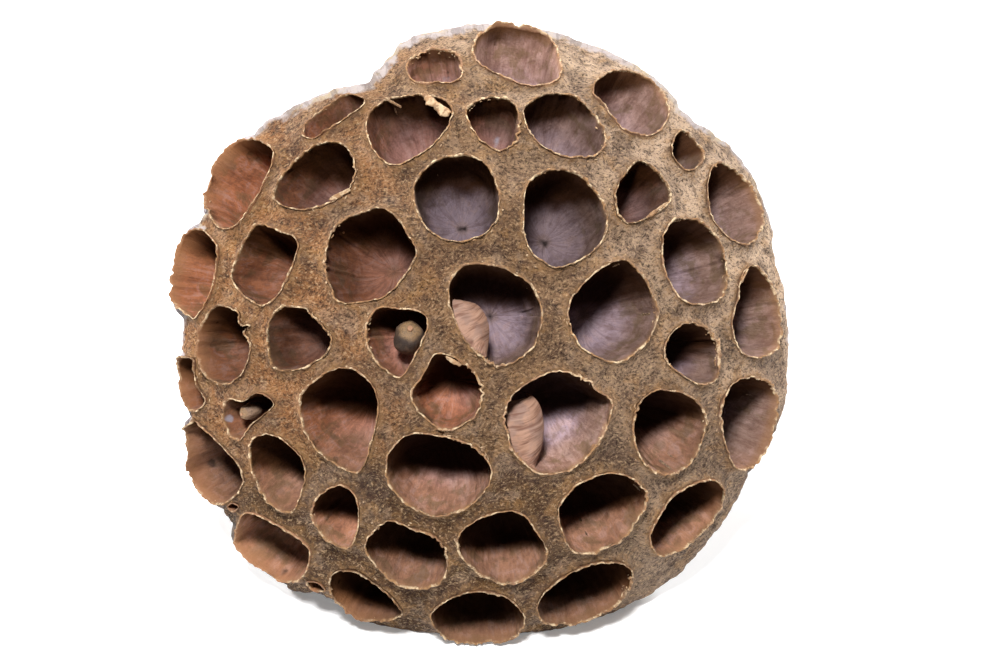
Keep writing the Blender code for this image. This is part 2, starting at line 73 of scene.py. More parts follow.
# Outlines of the chamber mouths, anticlockwise, as the eye sees them on the rim's plane
mouthOutlines = {
    "top": [(15.9, 52.5), (14.1, 58.0), (9.0, 60.4), (3.5, 60.6), (-0.4, 57.3), (-0.5, 53.6),
            (4.6, 50.3), (10.7, 48.5), (15.2, 49.6)],
    "top_left": [(-3.2, 51.5), (-4.9, 54.6), (-7.4, 55.3), (-11.0, 54.8), (-14.0, 52.3),
                 (-12.7, 49.4), (-8.6, 49.1), (-4.6, 49.3)],
    "slot": [(-22.3, 45.2), (-24.3, 46.6), (-27.3, 45.8), (-33.4, 41.3), (-34.3, 38.9),
             (-32.5, 38.1), (-29.5, 39.9), (-25.0, 42.9)],
    "upper_4": [(-5.4, 42.8), (-7.5, 45.7), (-13.5, 46.5), (-20.1, 44.3), (-22.0, 39.8),
                (-19.6, 34.5), (-15.5, 33.1), (-8.6, 37.3)],
    "upper_5": [(7.7, 40.0), (6.8, 44.9), (1.8, 46.1), (-1.5, 44.6), (-2.2, 42.5), (0.1, 38.2),
                (3.8, 35.7), (6.9, 37.5)],
    "upper_6": [(24.7, 38.4), (22.2, 42.9), (18.8, 46.2), (14.0, 46.7), (9.4, 44.6),
                (9.0, 41.9), (12.1, 37.0), (17.7, 34.5), (23.4, 35.4)],
    "upper_7": [(37.1, 43.2), (34.6, 48.5), (29.0, 51.4), (24.5, 50.4), (22.4, 47.3),
                (24.7, 44.5), (28.7, 39.8), (34.3, 39.0)],
    "upper_8": [(43.8, 35.2), (41.7, 38.3), (39.8, 39.6), (38.3, 37.9), (37.9, 35.5),
                (39.3, 33.1), (41.0, 31.9), (42.9, 32.9)],
    "left_9": [(-40.3, 34.7), (-42.6, 37.3), (-46.8, 37.5), (-50.3, 35.0), (-52.9, 30.9),
               (-53.3, 24.8), (-50.2, 20.6), (-46.5, 22.3), (-42.8, 28.0)],
    "upper_10": [(-24.4, 30.6), (-25.9, 36.1), (-30.0, 37.3), (-34.6, 34.8), (-39.4, 29.2),
                 (-39.4, 25.8), (-34.7, 24.2), (-27.9, 26.2)],
    "inner_11": [(3.9, 25.2), (2.1, 32.0), (-2.2, 34.6), (-8.5, 33.4), (-12.4, 29.2),
                 (-11.8, 23.4), (-8.0, 18.9), (-3.2, 18.0), (2.0, 20.1)],
    "inner_12": [(24.8, 20.5), (23.7, 26.2), (19.5, 30.7), (14.5, 31.8), (9.8, 29.2),
                 (8.8, 24.0), (9.8, 17.0), (15.0, 13.0), (22.5, 16.2)],
    "right_13": [(37.4, 26.7), (35.1, 31.3), (31.6, 33.6), (28.6, 30.9), (26.9, 27.3),
                 (28.0, 22.4), (30.6, 21.6), (35.1, 24.0)],
    "right_14": [(55.6, 22.0), (53.4, 28.2), (49.9, 31.8), (47.0, 33.1), (45.2, 30.5),
                 (45.5, 23.8), (48.3, 19.5), (52.8, 17.4)],
    "left_15": [(-51.3, 14.5), (-51.7, 17.5), (-54.3, 20.0), (-57.6, 19.0), (-59.6, 13.0),
                (-60.2, 7.0), (-57.2, 3.6), (-55.6, 3.0), (-52.7, 7.8)],
    "left_16": [(-35.8, 15.8), (-36.0, 18.2), (-39.0, 19.7), (-43.6, 20.9), (-46.7, 15.6),
                (-48.3, 10.5), (-44.3, 6.2), (-41.3, 5.8), (-38.0, 9.6)],
    "inner_17": [(-12.5, 15.0), (-14.1, 19.2), (-18.0, 24.0), (-22.1, 23.6), (-27.5, 21.2),
                 (-29.9, 14.5), (-28.0, 7.0), (-24.0, 5.9), (-17.5, 8.0)],
    "right_18": [(48.4, 11.5), (47.2, 17.5), (43.5, 21.6), (38.6, 22.0), (36.1, 18.5),
                 (36.6, 12.0), (39.6, 7.0), (43.5, 5.5), (47.4, 7.0)],
    "middle": [(12.3, 3.0), (10.2, 9.0), (4.0, 12.8), (-2.8, 12.9), (-5.8, 8.5), (-4.6, 2.8),
               (-1.6, -2.6), (4.0, -6.3), (10.0, -3.2)],
    "inner_20": [(34.8, 3.4), (32.6, 10.0), (28.8, 14.0), (24.6, 12.8), (19.4, 8.4),
                 (17.5, 3.6), (20.0, -2.4), (26.6, -5.7), (32.4, -2.0)],
    "right_21": [(59.3, 1.5), (57.6, 8.6), (54.4, 12.8), (51.9, 11.6), (50.8, 6.6),
                 (49.8, 1.5), (51.4, -3.6), (55.4, -4.7), (58.6, -2.6)],
    "left_22": [(-44.8, -2.4), (-46.1, 0.0), (-45.0, 1.2), (-46.7, 1.6), (-47.4, 3.9), (-51.6, 5.0),
                (-54.4, 0.6), (-54.8, -4.8), (-52.5, -9.2), (-49.0, -9.9), (-46.0, -7.2)],
    "inner_23": [(-29.1, -1.5), (-31.3, 1.6), (-34.1, 4.6), (-39.2, 4.5), (-41.3, 0.0),
                 (-40.4, -6.3), (-36.3, -7.1), (-31.0, -5.0)],
    "seed_middle": [(-10.3, 0.8), (-11.0, 3.7), (-15.5, 4.6), (-19.6, 4.6), (-21.9, 1.0),
                    (-20.6, -4.7), (-15.8, -8.7), (-12.9, -5.0)],
    "inner_25": [(0.5, -12.5), (-0.8, -8.6), (-4.6, -5.0), (-8.7, -4.5), (-10.9, -8.4),
                 (-13.2, -12.2), (-10.6, -16.4), (-6.3, -18.7), (-1.2, -16.4)],
    "right_26": [(47.0, -6.0), (46.2, -1.2), (43.0, 1.5), (40.0, 1.5), (37.2, -1.2),
                 (36.6, -5.2), (40.4, -8.5), (43.6, -9.9), (46.2, -9.2)],
    "left_27": [(-53.7, -13.0), (-55.2, -10.5), (-57.0, -5.6), (-58.6, -5.5), (-58.6, -9.5),
                (-57.4, -14.0), (-55.8, -15.3), (-54.2, -14.4)],
    "seed_left": [(-40.4, -14.2), (-43.2, -11.8), (-46.2, -13.5), (-48.8, -13.2), (-50.0, -15.8),
                  (-48.6, -19.8), (-46.7, -20.8), (-44.8, -18.1)],
    "inner_29": [(-19.9, -14.5), (-21.2, -10.0), (-25.7, -6.9), (-31.4, -8.8), (-34.8, -13.0),
                 (-33.8, -19.6), (-30.3, -24.2), (-23.8, -27.1), (-21.2, -21.5)],
    "inner_30": [(26.0, -15.0), (23.6, -11.6), (20.0, -8.8), (14.5, -7.8), (8.8, -10.6),
                 (5.3, -15.0), (6.6, -22.4), (12.6, -27.7), (21.0, -24.6)],
    "right_31": [(44.3, -18.0), (42.8, -13.6), (38.2, -11.5), (33.8, -11.8), (30.4, -16.5),
                 (31.2, -23.4), (35.6, -27.6), (41.4, -25.6)],
    "right_32": [(58.6, -15.5), (57.4, -10.6), (53.8, -8.9), (49.8, -10.2), (47.6, -15.5),
                 (48.5, -22.2), (51.2, -26.8), (56.0, -24.2)],
    "left_33": [(-46.4, -27.8), (-47.6, -25.4), (-49.8, -23.0), (-53.2, -19.6), (-56.2, -17.0),
                (-57.4, -18.6), (-57.1, -22.1), (-57.1, -25.2), (-56.2, -28.7), (-54.0, -31.8),
                (-51.6, -33.5), (-49.2, -33.0), (-46.8, -30.6)],
    "lower_34": [(-34.0, -27.5), (-35.6, -23.8), (-40.4, -20.0), (-44.5, -21.4),
                 (-44.4, -27.0), (-41.0, -33.2), (-37.0, -35.0), (-35.0, -31.8)],
    "lower_35": [(2.4, -28.0), (0.2, -23.6), (-5.5, -20.9), (-13.2, -20.0), (-17.5, -23.7),
                 (-17.4, -29.6), (-12.6, -34.6), (-7.3, -35.9), (-0.8, -33.0)],
    "lower_36": [(-23.6, -35.0), (-24.8, -31.4), (-27.6, -30.0), (-31.0, -32.0),
                 (-32.6, -36.0), (-30.0, -40.2), (-26.2, -42.3), (-24.2, -39.5)],
    "lower_37": [(32.7, -32.0), (30.0, -28.8), (25.0, -27.8), (19.0, -30.2), (15.8, -34.5),
                 (16.6, -39.5), (19.4, -43.1), (26.6, -41.4), (30.8, -36.8)],
    "lower_38": [(48.2, -31.6), (45.0, -29.0), (38.8, -31.6), (36.0, -35.0), (33.6, -40.2),
                 (35.8, -43.8), (40.5, -41.8), (45.4, -37.4)],
    "lower_39": [(-33.2, -44.0), (-34.6, -41.1), (-40.0, -37.6), (-45.6, -35.4),
                 (-47.4, -38.8), (-47.5, -41.8), (-44.0, -45.6), (-38.8, -48.6), (-34.8, -47.9)],
    "lower_40": [(-6.2, -45.6), (-8.2, -40.4), (-13.0, -38.6), (-17.6, -37.0), (-22.0, -40.8),
                 (-20.6, -45.0), (-14.8, -49.5), (-8.6, -49.2)],
    "lower_41": [(13.2, -43.8), (11.0, -38.8), (7.4, -35.2), (1.0, -36.2), (-3.8, -39.8),
                 (-2.9, -44.3), (4.0, -49.0), (9.4, -48.0)],
    "bottom_42": [(-15.1, -55.0), (-17.2, -52.0), (-20.7, -49.1), (-24.5, -46.9),
                  (-28.2, -47.1), (-29.1, -49.8), (-27.3, -53.3), (-23.0, -56.0), (-18.0, -56.2)],
    "bottom": [(8.8, -56.2), (6.6, -52.8), (2.0, -51.0), (-3.4, -51.3), (-9.1, -54.8),
               (-8.0, -58.4), (-4.4, -60.6), (2.0, -60.8), (7.0, -59.6)],
    "bottom_44": [(30.0, -48.0), (28.0, -45.4), (22.0, -45.5), (14.6, -49.4), (11.6, -53.8),
                  (13.6, -57.0), (19.8, -56.8), (26.8, -53.2)],
    "pit_left": [(-47.1, -34.2), (-48.2, -33.5), (-49.3, -34.2), (-48.2, -35.0)],
    "pit_bottom": [(-30.3, -50.6), (-31.2, -49.3), (-33.6, -48.9), (-32.6, -50.4)],
}

sphereDrop = sqrt(pod["lipSphere"] ** 2 - pod["crownEdge"] ** 2)
sphereMiddle = np.array([0.0, 0.0, -sphereDrop])


# Noise: every whole cell gets a number from -1 to 1 by mixing its three indices, and a point
# takes the eased mix of the eight numbers round it.
def latticeValue(cell, seed):
    word = (cell & 0xFFFFFFFF).astype(np.uint32)
    mixed = word[..., 0] * np.uint32(374761393) + word[..., 1] * np.uint32(668265263)
    mixed = mixed + word[..., 2] * np.uint32(2246822519) + np.uint32(seed * 974711)
    mixed = (mixed ^ (mixed >> np.uint32(13))) * np.uint32(1274126177)
    mixed = mixed ^ (mixed >> np.uint32(16))
    return (mixed & np.uint32(0xFFFFFF)).astype(float) / 0x7FFFFF - 1.0


def noise(points, size, seed):
    at = np.asarray(points, float) / size
    low = np.floor(at).astype(np.int64)
    t = at - low
    t = t * t * t * (t * (t * 6 - 15) + 10)
    total = np.zeros(at.shape[:-1])
    for corner in product((0, 1), repeat=3):
        share = np.prod(np.where(corner, t, 1 - t), axis=-1)
        total += share * latticeValue(low + corner, seed)
    return total


def eased(low, high, value):
    t = np.clip((value - low) / (high - low), 0, 1)
    return t * t * (3 - 2 * t)


def column(values):
    return np.reshape(values, (-1, 1))


def unit(vectors):
    return vectors / np.linalg.norm(vectors, axis=-1, keepdims=True)


# The smooth curve through four corners, from the second to the third (Catmull-Rom)
def between(a, b, c, d, t):
    return 0.5 * (2 * b + (c - a) * t + (2 * a - 5 * b + 4 * c - d) * t**2 + (3 * b - a - 3 * c + d) * t**3)


# A smooth closed curve through corners, evenly along its parameter
def closedCurve(corners, count):
    corners = np.asarray(corners, float)
    at = np.arange(count) * len(corners) / count
    first = at.astype(int)
    return between(*(corners[(first + k) % len(corners)] for k in (-1, 0, 1, 2)), column(at - first))


# Values between the rows of a table, along a running number, smooth through each row
def smoothRows(table, at):
    table = np.asarray(table, float)
    last = len(table) - 1
    first = np.clip(at.astype(int), 0, last - 1)
    return between(*(table[np.clip(first + k, 0, last)] for k in (-1, 0, 1, 2)), column(at - first))


# Where the eye's rays through points of the rim's plane first meet the lips' dome, or a dome
# some way below it: the near root of the ray's distance equation with the sphere.
def onDome(outline, below=0.0):
    outline = np.asarray(outline, float)
    reach = (outline**2).sum(1) + pod["eye"] ** 2
    half = pod["eye"] * (pod["eye"] + sphereDrop)
    rest = (pod["eye"] + sphereDrop) ** 2 - (pod["lipSphere"] - below) ** 2
    t = (half - np.sqrt(half**2 - reach * rest)) / reach
    return np.column_stack([outline * column(t), pod["eye"] * (1 - t)])


# Where the eye sees points, on the rim's plane
def apparent(points):
    return points[:, :2] * column(pod["eye"] / (pod["eye"] - points[:, 2]))


# The points of a closed loop again, evenly spaced along its length.
def evenly(loop, count):
    ends = np.vstack([loop, loop[:1]])
    along = np.concatenate([[0], np.cumsum(np.linalg.norm(np.diff(ends, axis=0), axis=1))])
    at = np.arange(count) * along[-1] / count
    return np.column_stack([np.interp(at, along, ends[:, k]) for k in range(3)])


def girthOf(loop):
    return np.linalg.norm(loop - np.roll(loop, 1, axis=0), axis=1).sum()


# The dome's sheet map: a point's arc distance from the pod's axis, laid out flat in its
# direction round the axis. sheetWay turns a place on the map back to a direction.
def sheetPlace(points):
    way = unit(points - sphereMiddle)
    flat = np.hypot(way[:, 0], way[:, 1])
    bend = np.arctan2(flat, way[:, 2])
    return way[:, :2] * column(bend * pod["lipSphere"] / np.maximum(flat, 1e-9))


def sheetWay(places):
    bend = np.hypot(places[:, 0], places[:, 1]) / pod["lipSphere"]
    side = np.sin(bend) / np.maximum(bend * pod["lipSphere"], 1e-9)
    return np.column_stack([places * column(side), np.cos(bend)])


def rimRadius(turn):
    known = np.array(sorted(rimRadii))
    value = np.array([rimRadii[k] for k in known])
    after = np.searchsorted(known, np.degrees(turn) % 360, side="right")
    low, high = (after - 1) % len(known), after % len(known)
    t = eased(0, (known[high] - known[low]) % 360, (np.degrees(turn) - known[low]) % 360)
    return value[low] * (1 - t) + value[high] * t


# The pod's frame to the world's: leaned back by the slope from its lowest lobe to its stem's
# end, and down until the ground takes the flat spots. In the world nothing goes below ground.
def leaned(points):
    lobe = onDome(np.array(mouthOutlines["bottom"]))
    low = lobe[lobe[:, 1].argmin()] - (0, pod["cupWall"], 0)
    stem = (pod["stemDrift"][1] - pod["stemRadius"], -pod["stemEnd"])
    lean = atan2(stem[0] - low[1], low[2] - stem[1])
    ground = low[1] * cos(lean) + low[2] * sin(lean) + pod["flatSpot"]
    x, y, z = np.asarray(points, float).T
    shiftX, shiftY = pod["originShift"]
    return np.column_stack([x + shiftX, y * sin(lean) - z * cos(lean) + shiftY,
                            y * cos(lean) + z * sin(lean) - ground])


def toWorld(points):
    placed = leaned(points)
    soft = pod["softSpot"]
    low = -pod["flatSpot"] - 0.3
    lifted = (placed[:, 2] + np.hypot(placed[:, 2], soft)) / 2 - (low + sqrt(low**2 + soft**2)) / 2
    placed[:, 2] = np.maximum(lifted, 0)
    return placed * 0.001


# What the photo shows at single places of the lips: where they are flaky (place as the eye
# sees it on the rim's plane, reach, how much), and where a torn wall stands higher than the
# rest or is notched (mouth, place, reach, height).
flaky = (
    (-0.4, -8.6, 5.5, 1.0), (46.6, -3.4, 5.0, 1.0), (24.0, -22.0, 3.6, 0.9), (12.6, -45.2, 3.6, 0.9),
    (-8.0, -42.0, 4.5, 0.9), (29.4, -50.0, 4.0, 0.8), (47.3, -15.6, 5.0, 0.9), (-45.8, 0.6, 3.6, 0.8),
    (-21.0, 0.0, 3.0, 0.8), (-24.2, 31.6, 3.6, 0.7), (-27.4, 20.6, 2.6, 0.8), (-30.4, 12.4, 2.6, 0.7),
    (17.2, 0.4, 2.4, 0.6), (-1.2, -3.6, 2.6, 0.5), (34.8, 3.4, 2.4, 0.5), (30.4, -17.4, 3.6, 0.9),
    (35.2, -5.6, 3.2, 0.9), (6.2, -18.4, 4.5, 0.8), (20.0, -9.4, 4.0, 0.5), (-30.8, 1.8, 3.4, 0.7),
    (-2.4, -22.6, 4.0, 0.8), (-4.6, 53.4, 5.0, 0.9), (-10.0, 54.6, 4.0, 0.9), (44.0, 33.6, 3.2, 0.9),
    (38.4, 20.6, 3.4, 0.9), (21.6, 34.6, 2.6, 0.8), (24.6, 38.6, 4.0, 0.6), (7.6, 38.4, 3.4, 0.7),
    (0.4, 44.4, 2.6, 0.9), (33.0, -28.6, 5.0, 0.5), (56.0, -9.2, 4.0, 0.6), (-17.4, -37.4, 4.0, 0.5),
    (27.4, 24.4, 3.4, 0.6), (19.6, -29.4, 4.0, 0.5), (48.0, 12.0, 3.0, 0.5), (-33.4, -36.8, 4.0, 0.4),
)
torn = (
    ("top", 8.0, 61.0, 7.5, 1.5), ("top", 7.6, 59.6, 1.0, -2.6), ("top", 14.4, 56.6, 0.8, -1.8),
    ("left_9", -51.5, 33.5, 7.0, 1.1), ("left_9", -52.3, 29.2, 1.9, -2.2),
    ("left_9", -53.6, 25.0, 0.7, -1.0), ("left_15", -59.6, 12.0, 8.0, 0.8),
    ("left_15", -60.0, 8.4, 1.0, -1.5), ("left_15", -59.4, 15.4, 0.8, -0.9),
    ("left_22", -54.0, -3.0, 6.0, 0.5), ("left_27", -57.0, -5.0, 2.5, 1.6),
    ("left_27", -58.8, -9.5, 4.0, 0.5), ("left_33", -57.2, -17.6, 1.5, 1.8),
    ("left_33", -57.4, -24.0, 3.0, 0.9), ("left_33", -57.4, -20.6, 1.0, -1.6),
    ("left_33", -53.0, -33.0, 5.0, 0.7), ("right_32", 58.4, -15.5, 6.0, 0.8),
    ("right_32", 57.0, -23.0, 5.0, 0.9), ("right_21", 59.4, 1.0, 6.0, 0.5),
    ("right_14", 55.0, 24.0, 6.0, 0.5), ("bottom", 2.0, -60.2, 7.0, 0.5),
    ("bottom_42", -24.0, -56.2, 6.0, 0.5), ("lower_39", -44.5, -46.0, 6.0, 0.6),
    ("bottom_44", 20.0, -56.4, 6.0, 0.5),
)

# How ragged the mouths' outlines are: size, height, how much higher where flaky, seed
ragged = ((3.3, 0.10, 0.0, 11), (1.3, 0.13, 0.0, 12), (1.2, 0.0, 0.16, 14), (0.62, 0.12, 0.26, 13))


def flakiness(points):
    total = np.zeros(len(points))
    for x, y, reach, much in flaky:
        gap = ((points - onDome([(x, y)])) ** 2).sum(1) / reach**2
        total = np.maximum(total, much * np.exp(-gap * gap))
    return total


# Points round a mouth: to measure it, of its smooth curve, and of its lip
mouthPoints = {"measured": 96, "curve": 720, "lip": 480}


# One mouth: its ragged outline on the dome, its middle, size and way out. The outline is the
# smooth curve through its corners, pushed in and out by noise. Its corners are where the eye
# sees the top of the lip, so its foot on the dome lies below that, down the line to the dome's
# middle.
def readMouth(name, number):
    corners = mouthOutlines[name]
    plain = onDome(closedCurve(corners, mouthPoints["measured"]))
    middle = plain.mean(0)
    radius = np.linalg.norm(plain - middle, axis=1).mean()
    curve = closedCurve(corners, mouthPoints["curve"])
    tall = lining["rise"] + tornHeights(name, onDome(curve))[0]
    top = onDome(curve, -tall)
    lip = sphereMiddle + (top - sphereMiddle) * column(pod["lipSphere"] / (pod["lipSphere"] + tall))
    flakes = flakiness(lip)
    push = 0
    for size, much, flaked, seed in ragged:
        push = push + (much + flaked * flakes) * noise(lip, size, seed)
    lip = evenly(lip + unit(lip - middle) * column(push * min(1, radius / 5)), mouthPoints["lip"])
    return {"name": name, "number": number, "middle": middle, "radius": radius, "lip": lip,
            "girth": girthOf(lip), "out": (middle - sphereMiddle) / pod["lipSphere"],
            "depth": pod["chamberBase"] + pod["chamberPerRadius"] * radius}


# A ring of a chamber: its lip drawn in by a share and out by a spread, then moved down
# towards the dome's centre, so that neighbouring chambers keep their walls.
def chamberRing(mouth, lip, depth, share=1.0, spread=0.0):
    off = lip - mouth["middle"]
    flat = mouth["middle"] + off * (share + spread / np.linalg.norm(off, axis=-1, keepdims=True))
    return sphereMiddle + (flat - sphereMiddle) * (1 - depth / pod["lipSphere"])


# Faces between rows of a grid that is closed round its columns.
def tubeFaces(rows, columns, start=0):
    i, j = np.meshgrid(np.arange(rows - 1), np.arange(columns), indexing="ij")
    i, j = i.ravel(), j.ravel()
    k = (j + 1) % columns
    return start + np.column_stack([i * columns + j, i * columns + k,
                                    (i + 1) * columns + k, (i + 1) * columns + j])


def fanFaces(ring, tip):
    return np.column_stack([ring, np.roll(ring, -1), np.full(len(ring), tip)])


# Triangles between two closed rings of unequal count. Both are sorted by the same running
# number from 0 to 1, and whichever ring's next point comes first steps on.
def zipFaces(first, firstAt, second, secondAt):
    nextAt = np.concatenate([np.append(firstAt[1:], firstAt[0] + 1),
                             np.append(secondAt[1:], secondAt[0] + 1)])
    kind = np.repeat([0, 1], [len(first), len(second)])
    order = np.argsort(nextAt, kind="stable")
    kind = kind[order]
    stepA = np.cumsum(kind == 0) - (kind == 0)
    stepB = np.cumsum(kind == 1) - (kind == 1)
    a, a2 = first[stepA % len(first)], first[(stepA + 1) % len(first)]
    b, b2 = second[stepB % len(second)], second[(stepB + 1) % len(second)]
    return np.column_stack([a, np.where(kind == 0, a2, b2), b])


def addObject(name, data):
    thing = bpy.data.objects.new(name, data)
    bpy.context.scene.collection.objects.link(thing)
    return thing


# A piece of the pod. Each keeps its points in the pod's frame as the attribute "grown", which
# its material reads, so that all of them share one pattern.
def addPiece(name, points, faces, attributes, material, replaces="pod"):
    mesh = bpy.data.meshes.new(name)
    mesh.from_pydata(toWorld(points).tolist(), [], [f for part in faces for f in part.tolist()])
    for label, values in {"grown": points, **attributes}.items():
        kind, field = ("FLOAT", "value") if np.ndim(values) == 1 else ("FLOAT_VECTOR", "vector")
        layer = mesh.attributes.new(label, kind, "POINT")
        layer.data.foreach_set(field, np.ascontiguousarray(values, np.float32).ravel())
    mesh.shade_smooth()
    mesh.materials.append(material)
    thing = addObject(name, mesh)
    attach(thing, "root")
    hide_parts(replaces)
    print(name, "has", sum(len(part) * (part.shape[1] - 2) for part in faces), "triangles")
    return thing


# Distance from points to a closed line, and the running number of the nearest place along it
def nearestOnLoop(points, loop):
    step = np.roll(loop, -1, axis=0) - loop
    size = (step**2).sum(1)
    ahead = points @ step.T - (loop * step).sum(1)
    t = np.clip(ahead / size, 0, 1)
    gap = (points**2).sum(1)[:, None] - 2 * points @ loop.T + (loop**2).sum(1)
    gap = gap - 2 * t * ahead + t * t * size
    best = gap.argmin(1)
    row = np.arange(len(points))
    return np.sqrt(np.maximum(gap[row, best], 0)), (best + t[row, best]) / len(loop)


# Whether places of the sheet map are inside a closed line, by crossings of a ray to the right
def insideLoop(places, loop):
    x, y = places[:, :1], places[:, 1:]
    ax, ay = loop.T
    bx, by = np.roll(loop, -1, axis=0).T
    crossed = (ay > y) != (by > y)
    flat = np.where(by == ay, 1.0, by - ay)
    return (crossed & (x < ax + (y - ay) * (bx - ax) / flat)).sum(1) % 2 == 1


# The rim in even steps round the axis: the cone's own rim, or the outer wall of a chamber
# that stands out of it, blended where they meet.
rim = {
    "steps": 1440,
    "nearer": 1.023,      # the rim lies deeper than the plane that its radii are read on
    "wall": 0.48,         # from a chamber's lip to its outer wall, along the dome
    "slack": 0.02,        # lobes are widened by two steps, this much lower
    "lobed": (-1.6, 1.0),  # the rim is a lobe's where the lobe stands this much past the cone
    "uneven": ((1.7, 0.20, 43), (0.8, 0.14, 44)),  # size, height, seed
    "calm": 0.7,          # lobes are less uneven by this share
    "blend": 0.45,
}


def rimLine(mouths):
    steps = rim["steps"]
    turn = (np.arange(steps) + 0.5) * 2 * pi / steps
    cone = rimRadius(turn) * rim["nearer"]
    lobe = np.zeros(steps)
    for mouth in mouths:
        edge = chamberRing(mouth, evenly(mouth["lip"], steps), 0, spread=rim["wall"])
        place = (np.arctan2(edge[:, 1], edge[:, 0]) % (2 * pi) / (2 * pi) * steps).astype(int)
        np.maximum.at(lobe, place % steps, np.hypot(edge[:, 0], edge[:, 1]))
    for shift in (-2, -1, 1, 2):
        lobe = np.maximum(lobe, np.roll(lobe, shift) - rim["slack"])
    reach = cone + rim["blend"] * np.logaddexp(0, (lobe - cone) / rim["blend"])
    out = eased(*rim["lobed"], lobe - cone)
    circle = np.column_stack([np.cos(turn), np.sin(turn), turn * 0]) * pod["rimRadius"]
    for size, much, seed in rim["uneven"]:
        reach = reach + much * (1 - rim["calm"] * out) * noise(circle, size, seed)
    dome = pod["tissueSphere"] + (face["lipTissue"] - pod["tissueSphere"]) * out
    dome = dome - face["edgeDrop"] * (1 - out)
    bend = np.arcsin(reach / dome)
    return {"turn": turn, "reach": reach, "arc": bend * pod["lipSphere"], "out": out,
            "depth": sphereDrop - dome * np.cos(bend)}


# The dome's tissue as a sheet: a square grid on the sheet map, cut along the mouths and the
# rim. Its height rises to the lips with the square of the nearness to each mouth, all mouths
# combined as one minus the product of their shares left over.
face = {
    "spacing": 0.47,
    "reach": 84.0,        # the grid's half-width, past the rim's longest arc
    "lipTissue": 71.9,    # the dome that the tissue rises to at a mouth
    "rise": 4.3,          # over this distance from the mouth
    "inset": 0.20,        # the sheet ends this far outside a mouth's outline, under its lip
    "wallShare": 0.15,    # but takes no more than this share of a thin wall
    "clearOf": 0.15,      # a cut keeps this share of a grid edge clear of the grid's points
    "edgeDrop": 1.5,      # the sheet bends down over its last stretch at the rim
    "edgeWidth": 4.6,
    "bumps": ((3.1, 0.17, 21), (1.4, 0.13, 22), (0.75, 0.11, 23)),  # size, height, seed
    "calm": 0.35,         # the share of the bumps' height that is left at a mouth
    "darkMarkGrain": (1.3, 24),  # size, seed
    # dark raised marks; the three in a row near (-40, 38.7) make a torn slit, and their dark is painted shade
    "darkMarks": (            # place, reach, height
        (-35.6, 21.4, 2.0, 0.7), (-32.6, 21.0, 2.0, 0.7), (-29.6, 20.8, 1.6, 0.6), (49.6, -2.6, 2.4, 0.6),
        (-22.0, -30.5, 3.0, 0.4), (27.5, -21.0, 2.2, 0.4), (-8.5, 15.5, 2.2, 0.4), (-41.3, 37.7, 0.7, 0.6),
        (-40.2, 38.7, 0.8, 0.7), (-39.1, 39.7, 0.6, 0.6), (-5.2, 55.9, 0.6, 0.6), (-3.5, 56.0, 0.7, 0.6),
        (-1.8, 55.8, 0.6, 0.6),
    ),
}


# For places of the sheet: the gaps to the nearest two mouths, less than 0 inside a mouth, the
# product of the shares left over, and which mouth is the nearest.
def gapsToMouths(places, mouths):
    dome = sphereMiddle + pod["lipSphere"] * sheetWay(places)
    first, second = np.full(len(places), 90.0), np.full(len(places), 90.0)
    left = np.ones(len(places))
    owner = np.full(len(places), -1)
    for k, mouth in enumerate(mouths):
        reach = mouth["radius"] * 1.5 + 6
        near = np.flatnonzero(((dome - mouth["middle"]) ** 2).sum(1) < reach**2)
        gap, _ = nearestOnLoop(dome[near], mouth["lip"][::2])
        gap = np.where(insideLoop(places[near], sheetPlace(mouth["lip"])), -gap, gap)
        left[near] *= 1 - np.clip(1 - gap / face["rise"], 0, 1) ** 2
        closer = gap < first[near]
        second[near] = np.where(closer, first[near], np.minimum(second[near], gap))
        owner[near[closer]] = k
        first[near] = np.where(closer, gap, first[near])
    return first, second, left, owner


# Triangles cut along the line where the level is 0, without what lies below it. A new point
# mixes the data of its edge's ends and belongs to the owner of the end that is lost; points of
# the grid itself belong to -2.
def cutGrid(triangles, level, data, owner):
    kept = level[triangles] >= 0
    odd = []
    for alone in (True, False):  # one corner kept, then one corner lost
        for corner in range(3):
            chosen = (kept[:, corner] == alone) & (kept.sum(1) == (1 if alone else 2))
            odd.append(np.roll(triangles[chosen], -corner, axis=1))
    edges = np.vstack([part[:, pair] for part in odd for pair in ((0, 1), (0, 2))])
    key, back = np.unique(edges.min(1) * len(level) + edges.max(1), return_inverse=True)
    low, high = key // len(level), key % len(level)
    t = column(np.clip(level[low] / (level[low] - level[high]), face["clearOf"], 1 - face["clearOf"]))
    data = np.vstack([data, data[low] * (1 - t) + data[high] * t])
    owner = np.concatenate([np.full(len(level), -2), np.where(level[low] < 0, owner[low], owner[high])])
    faces, at = [triangles[kept.all(1)]], 0
    for number, part in enumerate(odd):
        near, far = (back[at + len(part) * n:at + len(part) * (n + 1)] + len(level) for n in (0, 1))
        at += 2 * len(part)
        if number < 3:
            faces.append(np.column_stack([part[:, 0], near, far]))
        else:
            faces.append(np.column_stack([part[:, 1], part[:, 2], far]))
            faces.append(np.column_stack([part[:, 1], far, near]))
    used, faces = np.unique(np.vstack(faces), return_inverse=True)
    return faces.reshape(-1, 3), data[used], owner[used]


